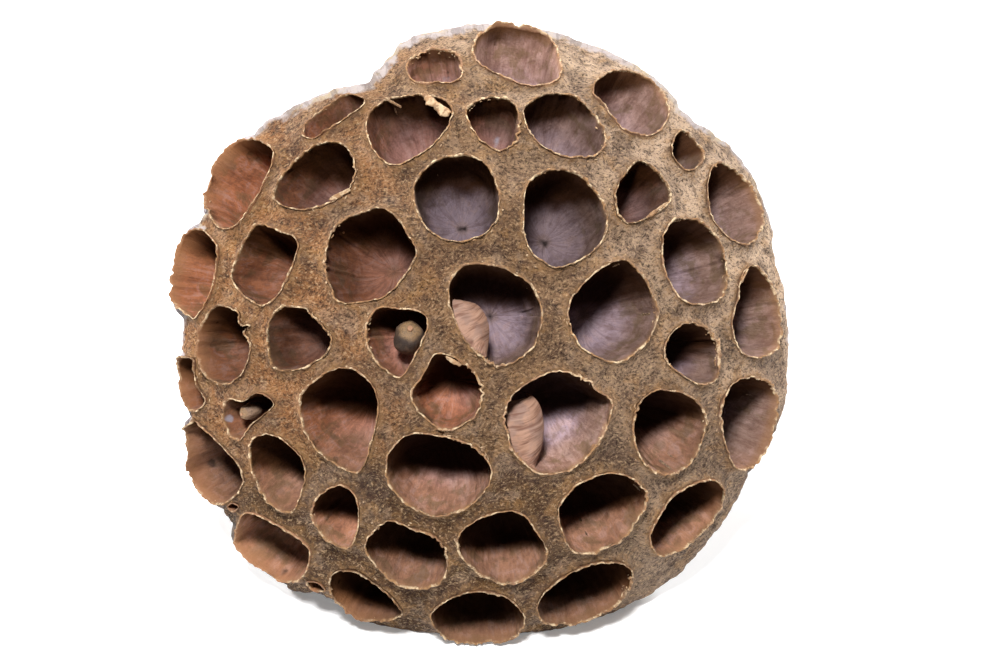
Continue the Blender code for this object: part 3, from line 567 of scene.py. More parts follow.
def faceSheet(mouths, line):
    count = int(2 * face["reach"] / face["spacing"])
    side = (np.arange(count + 1) - count / 2) * face["spacing"]
    u, v = np.meshgrid(side, side, indexing="ij")
    places = np.column_stack([u.ravel(), v.ravel()])
    turn = np.arctan2(places[:, 1], places[:, 0])
    toRim = np.interp(turn, line["turn"], line["arc"], period=2 * pi) - np.hypot(*places.T)
    first, second, left, owner = gapsToMouths(places, mouths)
    inset = np.minimum(face["inset"], face["wallShare"] * np.maximum(first + second, 0))
    owner = np.where(toRim < first - inset, -1, owner)

    i, j = np.meshgrid(np.arange(count), np.arange(count), indexing="ij")
    a = (i * (count + 1) + j).ravel()
    b, c, d = a + count + 1, a + count + 2, a + 1
    even = (i + j).ravel() % 2 == 0
    triangles = np.vstack([np.column_stack([a, b, np.where(even, c, d)]),
                           np.column_stack([np.where(even, a, b), c, d])])
    data = np.column_stack([places, left, first, toRim])
    faces, data, owner = cutGrid(triangles, np.minimum(first - inset, toRim), data, owner)
    places, left, first, toRim = data[:, :2], data[:, 2], data[:, 3], data[:, 4]

    way = sheetWay(places)
    height = pod["tissueSphere"] + (face["lipTissue"] - pod["tissueSphere"]) * (1 - left)
    base = sphereMiddle + way * column(height)
    calm = face["calm"] + (1 - face["calm"]) * eased(0, 2.0, first)
    for size, much, seed in face["bumps"]:
        height = height + much * calm * noise(base, size, seed)
    darkMark = np.zeros(len(base))
    grain = 0.5 - np.abs(noise(base, *face["darkMarkGrain"]))
    for x, y, reach, much in face["darkMarks"]:
        near = np.exp(-((base - onDome([(x, y)])) ** 2).sum(1) / reach**2)
        height = height + much * near * grain
        darkMark = np.maximum(darkMark, near * min(1, much * 1.6))
    out = np.interp(np.arctan2(places[:, 1], places[:, 0]), line["turn"], line["out"], period=2 * pi)
    height = height - face["edgeDrop"] * (1 - out) * np.clip(1 - toRim / face["edgeWidth"], 0, 1) ** 2
    points = sphereMiddle + way * column(height)
    return points, faces, owner, first, toRim, darkMark


# The hidden cup behind a lining: rings by depth, part of the chamber's depth, share and
# spread, closed at its foot.
cup = {
    "columns": 40,
    "rings": ((1.1, 0.0, 1.0, 0.40), (0.0, 0.30, 1.0, 0.42), (0.0, 0.55, 0.985, 0.46),
              (0.3, 0.78, 0.86, 0.56), (0.7, 0.95, 0.56, 0.6)),
    "below": 1.3,
}


# The outer wall of the cone from rim to stem: rows of share of the rim's radius, share of the
# stem's radius, depth and drift, with smooth steps between.
wall = {
    "rows": ((1.0, 0.0, 5.4, 0.0), (0.998, 0.0, 6.6, 0.01), (0.975, 0.0, 8.6, 0.02), (0.92, 0.0, 11.6, 0.03),
             (0.79, 0.0, 20.0, 0.08), (0.655, 0.0, 29.8, 0.18), (0.52, 0.0, 39.7, 0.31),
             (0.375, 0.0, 49.0, 0.48), (0.225, 0.0, 57.0, 0.67), (0.075, 0.82, 62.0, 0.93),
             (0.02, 1.0, 65.0, 0.965), (0.0, 1.0, 70.5, 1.0)),
    "step": 1.05,
    "bands": ((512, 0, 36.0), (256, 36.0, 60.0), (128, 60.0, 90.0)),  # columns, from depth to depth
    "tuck": (0.03, 0.4),       # it starts this far inside the face's edge and behind it
    "folds": 15,
    "foldDepth": 0.022,
    "lobeFade": 24.0,
    "wrinkles": ((5.0, 0.55, 31), (2.4, 0.34, 32), (1.2, 0.16, 33)),  # size round the cone, height, seed
    "stretch": 7.0,            # they are this many times as long as wide
}

# The cut end of the stem: rings to its middle, sunk where air canals were
cutEnd = {
    "rings": (0.94, 0.86, 0.76, 0.65, 0.54, 0.43, 0.32, 0.21, 0.11),
    "canals": 7,
    "canalReach": (0.58, 0.17),  # share of the radius, and how far it spreads
    "canalDepth": 1.3,
    "pithDepth": 0.8,
    "grain": (0.9, 0.25, 41),    # size, height, seed
    "mark": -200.0,              # the attribute toRim there, for the material
}


def wallRing(turn, row, line):
    share, stem, depth, drift = row
    inside, behind = wall["tuck"]
    reach = np.interp(turn, line["turn"], line["reach"], period=2 * pi)
    top = np.interp(turn, line["turn"], line["depth"], period=2 * pi)
    start = wall["rows"][0][2]
    under = np.clip((depth - start) / wall["lobeFade"], 0, 1)
    cone = rimRadius(turn) * rim["nearer"]
    fold = wall["foldDepth"] * (1 - share) * (1 + np.sin(2 * turn + 0.7) / 2)
    wave = 1 + fold * np.cos(wall["folds"] * turn + 1.3 * np.sin(3 * turn))
    radius = cone * share * wave + pod["stemRadius"] * stem
    radius = radius + (reach - cone - inside) * (1 - under**2)
    deep = depth + (top + behind - start) * (1 - under) ** 2
    around = np.column_stack([np.cos(turn), np.sin(turn)])
    tall = np.column_stack([around * column(radius), -deep / wall["stretch"]])
    calm = eased(0, 0.25, under) * (0.35 + 0.65 * (share > 0.1))
    for size, much, seed in wall["wrinkles"]:
        radius = radius + much * calm * noise(tall, size, seed)
    plan = around * column(radius) + np.array(pod["stemDrift"]) * drift
    return np.column_stack([plan, -deep])


def wallRows():
    table = np.array(wall["rows"])
    across = table[:, 0] * pod["rimRadius"] + table[:, 1] * pod["stemRadius"]
    length = np.concatenate([[0], np.cumsum(np.hypot(np.diff(across), np.diff(table[:, 2])))])
    at = np.linspace(0, length[-1], int(length[-1] / wall["step"]) + 1)
    return smoothRows(table, np.interp(at, length, np.arange(len(table))))


def cutRings(outer):
    middle = outer.mean(0)
    turn = np.arange(len(outer)) * 2 * pi / len(outer)
    at, spread = cutEnd["canalReach"]
    size, much, seed = cutEnd["grain"]
    rings = []
    for share in cutEnd["rings"]:
        ring = middle + (outer - middle) * share
        canal = np.cos(turn * cutEnd["canals"] + 0.5) * np.exp(-(((share - at) / spread) ** 2))
        sink = cutEnd["canalDepth"] * eased(0.15, 0.7, canal) + cutEnd["pithDepth"] * eased(0.30, 0.12, share)
        ring[:, 2] += sink - much * noise(ring, size, seed) - 0.15
        rings.append(ring)
    return rings, middle + (0, 0, 0.7)


def podBody(mouths, material):
    line = rimLine(mouths)
    points, faces, owner, toMouth, toRim, darkMark = faceSheet(mouths, line)
    print("face sheet has", len(faces), "triangles")
    blocks, parts, count = [points], [faces], len(points)
    marks = [np.column_stack([toMouth, toRim])]
    for k, mouth in enumerate(mouths):
        loop = np.flatnonzero(owner == k)
        _, at = nearestOnLoop(points[loop], chamberRing(mouth, mouth["lip"], 0, spread=face["inset"]))
        order = np.argsort(at)
        columns = cup["columns"]
        lip = evenly(mouth["lip"], columns)
        rings = [chamberRing(mouth, lip, deep + part * mouth["depth"], share, spread)
                 for deep, part, share, spread in cup["rings"]]
        tip = mouth["middle"] - mouth["out"] * (mouth["depth"] + cup["below"])
        ring = count + np.arange(columns)
        parts.append(zipFaces(ring, np.arange(columns) / columns, loop[order], at[order])[:, ::-1])
        parts.append(tubeFaces(len(rings), columns, count))
        last = ring + (len(rings) - 1) * columns
        parts.append(fanFaces(last, last[-1] + 1))
        blocks.append(np.vstack([*rings, tip]))
        count += len(blocks[-1])
        marks.append(np.full((len(blocks[-1]), 2), 9.0))

    loop = np.flatnonzero(owner == -1)
    edge = np.column_stack([np.cos(line["turn"]), np.sin(line["turn"])]) * column(line["arc"])
    _, at = nearestOnLoop(sheetPlace(points[loop]), edge)
    at = (at + 0.5 / rim["steps"]) % 1
    order = np.argsort(at)
    before, beforeAt = loop[order], at[order]
    rows = wallRows()
    for columns, start, until in wall["bands"]:
        mine = rows[(rows[:, 2] >= start) & (rows[:, 2] < until)]
        turn = np.arange(columns) * 2 * pi / columns
        rings = [wallRing(turn, row, line) for row in mine]
        ring = count + np.arange(columns)
        parts.append(zipFaces(ring, np.arange(columns) / columns, before, beforeAt))
        parts.append(tubeFaces(len(rings), columns, count)[:, ::-1])
        blocks.append(np.vstack(rings))
        deep = np.repeat(mine[:, 2], columns)
        marks.append(np.column_stack([np.full(len(deep), 30.0), -deep]))
        count += len(blocks[-1])
        before, beforeAt = ring + (len(rings) - 1) * columns, np.arange(columns) / columns

    rings, tip = cutRings(blocks[-1][-columns:])
    parts.append(tubeFaces(len(rings) + 1, columns, count - columns)[:, ::-1])
    blocks.append(np.vstack([*rings, tip]))
    last = count + (len(rings) - 1) * columns + np.arange(columns)
    parts.append(fanFaces(last[::-1], last[-1] + 1))
    marks.append(np.tile((30.0, cutEnd["mark"]), (len(blocks[-1]), 1)))

    marks = np.vstack(marks)
    darkMark = np.concatenate([darkMark, np.zeros(len(marks) - len(darkMark))])
    labels = {"toMouth": marks[:, 0], "toRim": marks[:, 1], "darkMark": darkMark}
    return addPiece("podBody", np.vstack(blocks), parts, labels, material)


# A chamber's lining: a closed papery cup. Its inside goes down from the torn lip by the curve
# depth = square root of sin t, share = cos t to the power of its fullness, for t from 0 to a
# quarter turn, and its outside follows a little further out.
lining = {
    "column": 0.29,         # width of a column at the lip
    "mostColumns": 196,
    "rows": 23,
    "crowded": 1.35,        # the rows lie nearer to each other at the lip, by this power
    "fullness": 0.94,
    "waist": 0.03,          # between its top and the dome the lip is narrower by this
    "lipRows": (1.0, 0.72, 0.35, 0.0),   # rings of the inside above the dome, as parts of the rise
    # rings of the outside there: part of the rise, part of the lean, out by, attribute deep
    "outerLipRows": ((0.97, 1.0, 0.0, -1.0), (0.5, 0.5, 0.05, -0.6), (0.0, 0.0, 0.03, -0.3)),
    # and below: part of the depth, share
    "outerRows": ((0.12, 1.0), (0.35, 1.0), (0.6, 0.975), (0.8, 0.83), (0.93, 0.58)),
    "skin": 0.25,           # thickness
    "edge": (0.19, 0.14, 0.14),  # thickness of the torn edge, how it varies, and more where flaky
    "rise": 0.30,           # the lip stands this far above the lips' dome
    "tatters": ((4.0, 0.15, 51), (1.5, 0.18, 52), (0.58, 0.20, 53)),  # size, height, seed
    "chips": ((1.15, 0.46, 57), (0.62, 0.24, 58)),   # small pieces broken out of the lip: size, depth, seed
    "chipped": (0.22, 0.46),  # they fall out where their noise passes from the first to the second
    "chipsPlain": 0.6,      # their depth where the lip isn't flaky, as a share
    "flakyRise": 0.12,      # flaky stretches stand higher by this
    "flakyTatters": 1.1,    # and add this much of the finest tatters
    "lowest": 0.03,
    "lean": (0.25, 0.6),    # the lip leans out by this share of its height, up to this height
    "leaning": (2.6, 0.16, 54),  # and unevenly: size, height, seed
    "dents": ((7.5, 0.55, 61), (3.2, 0.26, 62), (1.5, 0.08, 67)),
    "streaks": ((2.6, 0.12, 63), (1.25, 0.05, 64), (0.62, 0.02, 65)),
    "streakLength": 4.0,    # streaks are this many times as long as wide
    "apart": 13.7,          # from one chamber's streaks to the next one's in their noise
    "streakFade": 2.2,      # they fade where a ring's share is below 1 through this
    "calmTop": 0.25,        # dents and streaks grow down to this part of the depth
    "puckers": {"height": 0.06, "reach": 3.6, "inner": 0.8, "size": 1.7, "seed": 66},  # round the scar
    "scar": {"reach": 0.55, "depth": 0.6, "dark": 0.8, "darkTo": (1.0, 0.35), "ragged": (0.9, 0.45, 68)},
    "scars": {"middle": 2.4, "top_left": 1.6, "inner_11": 1.2, "inner_12": 1.2},  # clearer ones
    "otherScars": 0.35,
    "crack": {"mouth": "middle", "lip": (12.3, 4.5), "width": 1.0, "until": 0.80, "depth": 2.6,
              "narrowing": 2.0, "least": 0.15, "steepness": 1.6},
    "bareReach": (50.0, 56.0),   # lips that face outward past this distance from the axis are bare
    "bareFacing": (0.1, 0.7),    # from barely outward to enough
    "bareLeft": (-12, -34, 0.25),  # wholly bare left of the second x, and by this share right of the first
    # pale spots are painted glints on glossy places of the walls, the others dark spots
    "spots": (              # place, reach, how pale or, below 0, how dark
        (-48.7, -16.7, 0.9, 1.0), (-6.2, 49.6, 1.1, 0.5), (3.6, 37.4, 1.2, 0.5), (32.4, 21.4, 1.2, 0.4),
        (-52.1, -25.5, 1.1, -0.8), (0.2, 43.6, 1.7, -0.9), (-4.0, 53.4, 1.0, -0.5),
        (-44.0, 33.6, 2.2, -0.5), (14.4, 55.2, 1.2, -0.7), (-38.0, -47.0, 1.6, -0.5),
        (-6.1, 50.6, 0.45, -0.9),
    ),
    "spotGrain": (0.7, 0.5, 73),  # size, height, seed
    # where a chamber's painted shade on its upper part begins, as a share of its half-height, by the mouth's
    # height
    "shade": ((-55.0, 0.02), (-47.0, -0.06), (-35.0, 0.0), (0.0, 0.08), (25.0, 0.14), (45.0, 0.12),
              (60.0, 0.5)),
    "shadeSoft": 0.20,
    "shadeWavy": (3.0, 0.09, 74),  # size, height, seed
    "shadeTurn": 0.45,
    "shadeFrom": -5.0,      # mouths right of here are dark up left, the others up right
    "shadeSides": (36.0, 52.0, 0.5),  # it begins higher at the sides: from, to, by how much
    "shadeStarts": {
        "lower_39": 0.85, "left_33": 0.8, "left_9": 0.6, "left_15": 0.4, "top": 0.45, "upper_7": 0.3,
        "upper_10": -0.1, "right_26": -0.1, "upper_8": -0.35, "top_left": 0.2, "inner_23": 0.65,
        "left_27": 0.3, "bottom_42": -0.25, "slot": 0.7, "right_14": 0.3, "right_21": 0.35,
        "right_32": 0.42, "left_22": 0.15,
    },
    # how bright a chamber is beside the others, 1 where nothing is said: partly its own tone, partly painted
    # light and shade that make up for how the lamps fall into it
    "bright": {
        "top": 1.65, "top_left": 1.45, "upper_4": 0.88, "upper_5": 0.78, "upper_6": 0.9, "upper_7": 1.2,
        "upper_8": 0.76, "left_9": 1.15, "upper_10": 0.6, "inner_11": 0.63, "inner_12": 0.61,
        "right_13": 0.47, "left_15": 1.2, "left_16": 0.74, "inner_17": 0.62, "middle": 0.96,
        "right_21": 1.05, "left_22": 0.58, "inner_23": 0.43, "seed_middle": 1.15, "inner_25": 1.2,
        "right_26": 0.98, "left_27": 0.66, "seed_left": 0.85, "inner_30": 1.75, "left_33": 0.68,
        "lower_35": 1.28, "lower_36": 1.35, "lower_37": 1.2, "lower_38": 1.15, "lower_39": 1.4,
        "lower_40": 0.95, "bottom_42": 0.46, "bottom": 0.75, "bottom_44": 0.67,
    },
    "toneNoise": (9.0, 71),  # size, seed
    # how far a chamber's color shifts across the pod's, by that noise where nothing is said
    "tones": {"upper_4": -0.3, "upper_5": -1.2, "right_13": -3.0, "inner_25": -1.15, "seed_middle": -0.6,
              "right_26": -2.4},
}


# How much higher a mouth's lip stands where its wall is torn high, and the depth of its notches
def tornHeights(name, lip):
    high, notch = np.zeros(len(lip)), np.zeros(len(lip))
    for mouthName, x, y, reach, much in torn:
        if mouthName == name:
            gap = np.linalg.norm(lip - onDome([(x, y)]), axis=1) / reach
            high = high + max(much, 0) * np.exp(-gap * gap)
            notch = notch + max(-much, 0) * np.clip(1.3 - gap, 0, 1)
    return high, notch


def lipHeights(mouth, lip):
    flakes = flakiness(lip)
    rise = np.full(len(lip), lining["rise"]) + lining["flakyRise"] * flakes
    for size, much, seed in lining["tatters"]:
        rise = rise + much * noise(lip, size, seed)
    finest = lining["tatters"][-1]
    rise = rise + lining["flakyTatters"] * finest[1] * flakes * noise(lip, finest[0], 56)
    plain = lining["chipsPlain"]
    for size, much, seed in lining["chips"]:
        fallen = eased(*lining["chipped"], noise(lip, size, seed))
        rise = rise - much * (plain + (1 - plain) * flakes) * fallen
    high, notch = tornHeights(mouth["name"], lip)
    return np.maximum(rise + high - notch, lining["lowest"]) * min(1, mouth["radius"] / 3)


# The inside of a lining, ring by ring from the top of the lip: its points, and the attributes
# deep, toEdge, toPole and dark.
def liningInside(mouth, lip, around, rise, lean, scarred):
    columns = len(lip)
    away = unit(lip - mouth["middle"])
    small = min(1, mouth["radius"] / 4)
    bottom = sphereMiddle + (mouth["middle"] - sphereMiddle) * (1 - mouth["depth"] / pod["lipSphere"])
    rings = []
    for part in lining["lipRows"]:
        spread = lean * part - lining["waist"] * (0 < part < 1)
        ring = chamberRing(mouth, lip, column(-rise * part), 1.0, column(spread))
        rings.append((ring, np.full(columns, -part), rise * (1 - part), np.full(columns, mouth["radius"]),
                      np.zeros(columns)))
    crack, scar, puckers = lining["crack"], lining["scar"], lining["puckers"]
    toCrack = np.full(columns, 9.0)
    if crack["mouth"] == mouth["name"]:
        toCrack = np.linalg.norm(lip - onDome([crack["lip"]]), axis=1)
    grain, rough, grainSeed = scar["ragged"]
    w = np.linspace(0, 1, lining["rows"] + 1)[1:-1]
    t = pi / 2 * w ** lining["crowded"]
    for part, angle, deep, share in zip(w, t, np.sqrt(np.sin(t)), np.cos(t) ** lining["fullness"]):
        ring = chamberRing(mouth, lip, mouth["depth"] * deep, share)
        inward = away * cos(angle) - mouth["out"] * sin(angle)
        reach = np.linalg.norm(ring - bottom, axis=1)
        down = mouth["depth"] * part / lining["streakLength"] + lining["apart"] * mouth["number"]
        tall = np.column_stack([around, np.full(columns, down)])
        push = np.zeros(columns)
        for size, much, seed in lining["dents"]:
            push = push + much * noise(ring, size, seed)
        for size, much, seed in lining["streaks"]:
            push = push + much * noise(tall, size, seed) * min(1, share * lining["streakFade"])
        push = push * eased(0, lining["calmTop"], deep) * small
        gather = np.exp(-((reach / puckers["reach"]) ** 2)) * np.clip(reach / puckers["inner"], 0, 1)
        folds = noise(tall * (0.8, 0.8, 1), puckers["size"], puckers["seed"])
        push = push + puckers["height"] * scarred * gather * folds * small
        sink = scar["depth"] * np.exp(-((reach / scar["reach"]) ** 2)) * small * min(1, scarred)
        # the crack is a groove pushed into the wall and painted dark, painted shade in it; the scar is dark
        # in its own color
        slit = toCrack * max(share, crack["least"]) / crack["width"] * (1 + crack["narrowing"] * deep)
        slit = np.clip(crack["steepness"] - slit, 0, 1) * (deep < crack["until"])
        dark = eased(*scar["darkTo"], reach + rough * noise(ring, grain, grainSeed))
        dark = np.maximum(slit, min(1, scar["dark"] * scarred) * dark)
        push = push + crack["depth"] * slit
        rings.append((ring + inward * column(push) - mouth["out"] * column(sink), np.full(columns, deep),
                      rise + mouth["depth"] * deep, reach, dark))
    return rings


# The outside of a lining from its foot up, in the same way
def liningOutside(mouth, lip, rise, lean):
    columns = len(lip)
    thick, varied, flaked = lining["edge"]
    edge = thick + varied * noise(lip, 1.0, 55) + flaked * flakiness(lip)
    tiny = 9.0 if mouth["radius"] < 2 else 0.0
    rings = []
    for part, leaning, more, deep in lining["outerLipRows"]:
        ring = chamberRing(mouth, lip, column(-rise * part), 1.0, column(lean * leaning + edge + more))
        rings.append((ring, deep, rise * (1 - part) + tiny))
    for part, narrower in lining["outerRows"]:
        deep = mouth["depth"] * part + 0.3 * part
        ring = chamberRing(mouth, lip, deep, narrower, lining["skin"] + 0.12 * part)
        rings.append((ring, part, np.full(columns, 9.0 + tiny)))
    return [(ring, np.full(columns, deep), toEdge, np.full(columns, mouth["radius"]), np.zeros(columns))
            for ring, deep, toEdge in rings[::-1]]


# Lips that face away from the axis, far out and most at the left, are bare: less torn edge shows, and their
# walls get a warm painted glow of light shining through the thin paper
def bareness(mouth, lip):
    flat = np.hypot(lip[:, 0], lip[:, 1])
    facing = np.clip((unit(lip - mouth["middle"])[:, :2] * lip[:, :2]).sum(1) / flat, 0, 1)
    begin, end, least = lining["bareLeft"]
    left = least + (1 - least) * eased(begin, end, lip[:, 0])
    return eased(*lining["bareFacing"], facing) * eased(*lining["bareReach"], flat) * left


# Painted glints, which are the pale spots, and dark spots of a lining, where the eye sees them
def liningGlintsAndSpots(mouth, points):
    seen = apparent(points)
    spot = np.zeros(len(points))
    for x, y, reach, much in lining["spots"]:
        spot = spot + much * np.exp(-(((seen - (x, y)) ** 2).sum(1) / reach**2) ** 1.5)
    size, much, seed = lining["spotGrain"]
    spot = spot * (1 + much * noise(points, size, seed))
    off = sheetPlace(points) - sheetPlace(mouth["middle"][None])
    return spot * (np.abs(off).max(1) < mouth["radius"] * 2)


# Painted shade on the upper part of a chamber, where its lip would shade it, as the eye sees it: from a share
# of the way up from the mouth's middle to the top of its lip.
def liningShade(mouth, lip, points, deep):
    centre = apparent(mouth["middle"][None])[0]
    turn = (lining["shadeFrom"] - centre[0]) / pod["lipSphere"] * lining["shadeTurn"]
    upward = np.array([sin(turn), cos(turn)])
    up = (apparent(points) - centre) @ upward / ((apparent(lip) - centre) @ upward).max()
    low, high, much = lining["shadeSides"]
    begin = np.interp(centre[1], *np.array(lining["shade"]).T) + much * eased(low, high, abs(centre[0]))
    size, much, seed = lining["shadeWavy"]
    begin = lining["shadeStarts"].get(mouth["name"], begin) + much * noise(points, size, seed)
    soft = lining["shadeSoft"]
    return eased(begin - soft, begin + soft, up) * eased(-0.5, 0.05, deep)


def liningShell(mouth, count):
    columns = int(np.clip(mouth["girth"] / lining["column"], 40, lining["mostColumns"]))
    lip = evenly(mouth["lip"], columns)
    off = lip - mouth["middle"]
    turn = np.arctan2(off @ np.cross(mouth["out"], (1.0, 0, 0)), off @ np.array((1.0, 0, 0)))
    around = np.column_stack([np.cos(turn), np.sin(turn)]) * mouth["radius"]
    rise = lipHeights(mouth, lip)
    share, most = lining["lean"]
    size, much, seed = lining["leaning"]
    lean = np.minimum(rise, most) * share + much * noise(lip, size, seed)
    scarred = lining["scars"].get(mouth["name"], lining["otherScars"])
    outside = liningOutside(mouth, lip, rise, lean)
    inside = liningInside(mouth, lip, around, rise, lean, scarred)
    rings, deep, toEdge, toPole, dark = zip(*outside, *inside)
    outerTip = mouth["middle"] - mouth["out"] * (mouth["depth"] + 0.9)
    innerTip = rings[-1].mean(0) - mouth["out"] * 0.05
    points = np.vstack([*rings, outerTip, innerTip])
    last = count + (len(rings) - 1) * columns + np.arange(columns)
    tip = count + len(rings) * columns
    faces = [tubeFaces(len(rings), columns, count), fanFaces(count + np.arange(columns)[::-1], tip),
             fanFaces(last, tip + 1)]
    deep = np.concatenate([*deep, [1.0, 1.0]])
    streak = np.zeros((len(points), 3))
    streak[:-2, :2] = np.tile(around, (len(rings), 1))
    streak[:, 2] = np.clip(deep, 0, 1) * mouth["depth"] / lining["streakLength"]
    streak[:, 2] += lining["apart"] * mouth["number"]
    tone = noise(mouth["middle"][None] + 3.3, *lining["toneNoise"])[0]
    return points, faces, {
        "bareAndGlow": np.concatenate([np.tile(bareness(mouth, lip), len(rings)), [0.0, 0.0]]),
        "spot": liningGlintsAndSpots(mouth, points),
        "deep": deep,
        "shade": liningShade(mouth, lip, points, deep),
        "bright": np.full(len(points), lining["bright"].get(mouth["name"], 1.0)),
        "toEdge": np.concatenate([*toEdge, [9.0, 9.0]]),
        "toPole": np.concatenate([*toPole, [9.0, 0.0]]),
        "dark": np.concatenate([*dark, [0.0, min(1, lining["scar"]["dark"] * scarred)]]),
        "streak": streak,
        "tone": np.full(len(points), lining["tones"].get(mouth["name"], tone)),
    }


def chamberLinings(mouths, name, material):
    blocks, parts, marks, count = [], [], [], 0
    for mouth in mouths:
        points, faces, mark = liningShell(mouth, count)
        blocks.append(points)
        parts += faces
        marks.append(mark)
        count += len(points)
    joined = {label: np.concatenate([mark[label] for mark in marks]) for label in marks[0]}
    return addPiece(name, np.vstack(blocks), parts, joined, material)


# A closed thin sheet from a grid of points: the grid, the same grid moved down along its
# normals by the thickness, and a strip round the edge.
def thinSheet(grid, thickness, count):
    rows, columns = grid.shape[:2]
    up = np.cross(np.gradient(grid, axis=0), np.gradient(grid, axis=1))
    up = up / np.maximum(np.linalg.norm(up, axis=2, keepdims=True), 1e-9)
    i, j = np.meshgrid(np.arange(rows - 1), np.arange(columns - 1), indexing="ij")
    a = (i * columns + j).ravel()
    top = np.column_stack([a, a + columns, a + columns + 1, a + 1])
    under = top[:, ::-1] + rows * columns
    edge = np.concatenate([np.arange(columns), np.arange(1, rows) * columns + columns - 1,
                           (rows - 1) * columns + np.arange(columns - 2, -1, -1),
                           np.arange(rows - 2, 0, -1) * columns])
    after = np.roll(edge, -1)
    strip = np.column_stack([edge, after, after + rows * columns, edge + rows * columns])
    points = np.vstack([grid.reshape(-1, 3), (grid - up * thickness).reshape(-1, 3)])
    return points, [count + top, count + under, count + strip]


# Two pieces of lining came loose and bulge into their chambers. Each is a sheet between two
# lines as the eye sees them: where it still hangs on the wall and its free edge.
loose = {
    "rows": 74,
    "columns": 34,
    "crowded": 0.9,      # the columns lie a little nearer to each other at the free edge
    "swellAcross": (1.15, 0.86),        # the bulge across: power, part of a half wave
    "swellAlong": (0.12, 0.80, 0.6),    # and along: start and length in a half wave, power
    "curled": 12,        # columns of the free edge, which turns down
    "curl": (0.08, 0.30),  # the nearest of them, as a share of their width, and that width
    "curlDown": 7.5,     # how steeply it turns down and back
    "curlBack": 5.5,
    "curlPower": 1.4,
    "skin": 0.30,
    "rowLength": 2.3,    # from one point of the outlines to the next, about
    "slant": (1.25, 1.6, 0.9),  # how the folds run: with the rows, the columns and a slow noise
    "sway": (4.5, 91),   # size and seed of that noise
    "folds": ((0.62, 1.0, 92), (0.3, 0.5, 93)),  # size, height, seed
    "wrinkle": (0.17, 0.2),  # height of the folds, and the share of the width they begin over
    "waves": (2.2, 0.22, 94),
    "sheets": (
        {"wall": ((-5.4, 6.9), (-5.9, 5.6), (-5.0, 3.0), (-3.6, 0.2), (-1.8, -2.6), (0.9, -5.2)),
         "edge": ((-3.6, 6.9), (-0.7, 6.1), (1.1, 4.2), (2.1, 1.4), (2.1, -1.3), (1.6, -4.8)),
         "wallDepth": (4.2, 3.2, 2.4, 1.8, 1.4, 1.2), "edgeDepth": (5.6, 5.4, 5.0, 5.0, 4.8, 2.6),
         "bulge": 1.25},
        {"wall": ((6.0, -14.6), (5.4, -16.6), (6.0, -19.6), (6.6, -22.4), (7.8, -24.8), (10.2, -27.0)),
         "edge": ((11.4, -13.4), (12.8, -15.2), (13.4, -18.2), (13.3, -21.2), (12.8, -24.0), (11.4, -27.0)),
         "wallDepth": (5.0, 3.6, 2.4, 1.8, 1.4, 1.2), "edgeDepth": (6.4, 5.2, 4.6, 4.2, 3.8, 2.4),
         "bulge": 1.9},
    ),
}


def looseLinings(material):
    blocks, parts, marks, count = [], [], [], 0
    down = np.linspace(0, 5, loose["rows"])
    nearest, wide = loose["curl"]
    curled = 1 + np.linspace(nearest, 1, loose["curled"]) * wide
    v = np.concatenate([np.linspace(0, 1, loose["columns"]), curled])
    inner, past = np.minimum(v, 1), np.maximum(v - 1, 0)
    power, part = loose["swellAcross"]
    across = np.sin(pi * inner**power * part)
    begin, span, blunt = loose["swellAlong"]
    height, grown = loose["wrinkle"]
    size, much, seed = loose["waves"]
    for sheet in loose["sheets"]:
        wallLine = smoothRows(np.column_stack([sheet["wall"], sheet["wallDepth"]]), down)
        edgeLine = smoothRows(np.column_stack([sheet["edge"], sheet["edgeDepth"]]), down)
        rows = []
        for wallPoint, edgePoint, at in zip(wallLine, edgeLine, down / 5):
            line = wallPoint + (edgePoint - wallPoint) * column(inner ** loose["crowded"])
            swell = across * sin(pi * (begin + span * at)) ** blunt
            line[:, 2] += loose["curlDown"] * past - sheet["bulge"] * swell
            line[:, 0] -= loose["curlBack"] * past ** loose["curlPower"]
            dome = onDome(line[:, :2])
            rows.append(dome + (sphereMiddle - dome) * column(line[:, 2] / pod["lipSphere"]))
        grid = np.array(rows)
        u = np.broadcast_to(down[:, None] * loose["rowLength"], grid.shape[:2])
        byRow, byColumn, bySway = loose["slant"]
        slanting = u * byRow + v * byColumn + noise(grid, *loose["sway"]) * bySway
        fold = np.stack([slanting, u * 0 + v * 0.9, u * 0 + 5], axis=-1)
        push = sum(tall * noise(fold, fine, of) for fine, tall, of in loose["folds"])
        push = height * push * eased(0.0, grown, v) + much * noise(grid, size, seed)
        pushed = grid + (grid - sphereMiddle) / pod["lipSphere"] * push[:, :, None]
        points, faces = thinSheet(pushed, loose["skin"], count)
        blocks.append(points)
        parts += faces
        mark = np.stack([fold[:, :, 0], fold[:, :, 1], push], axis=-1).reshape(-1, 3)
        marks += [mark, mark]
        count += len(points)
    marks = np.vstack(marks)
    # relief is the folds' height; the material paints its hollows dark as painted shade
    labels = {"fold": marks, "relief": marks[:, 2]}
    return addPiece("looseLinings", np.vstack(blocks), parts, labels, material)


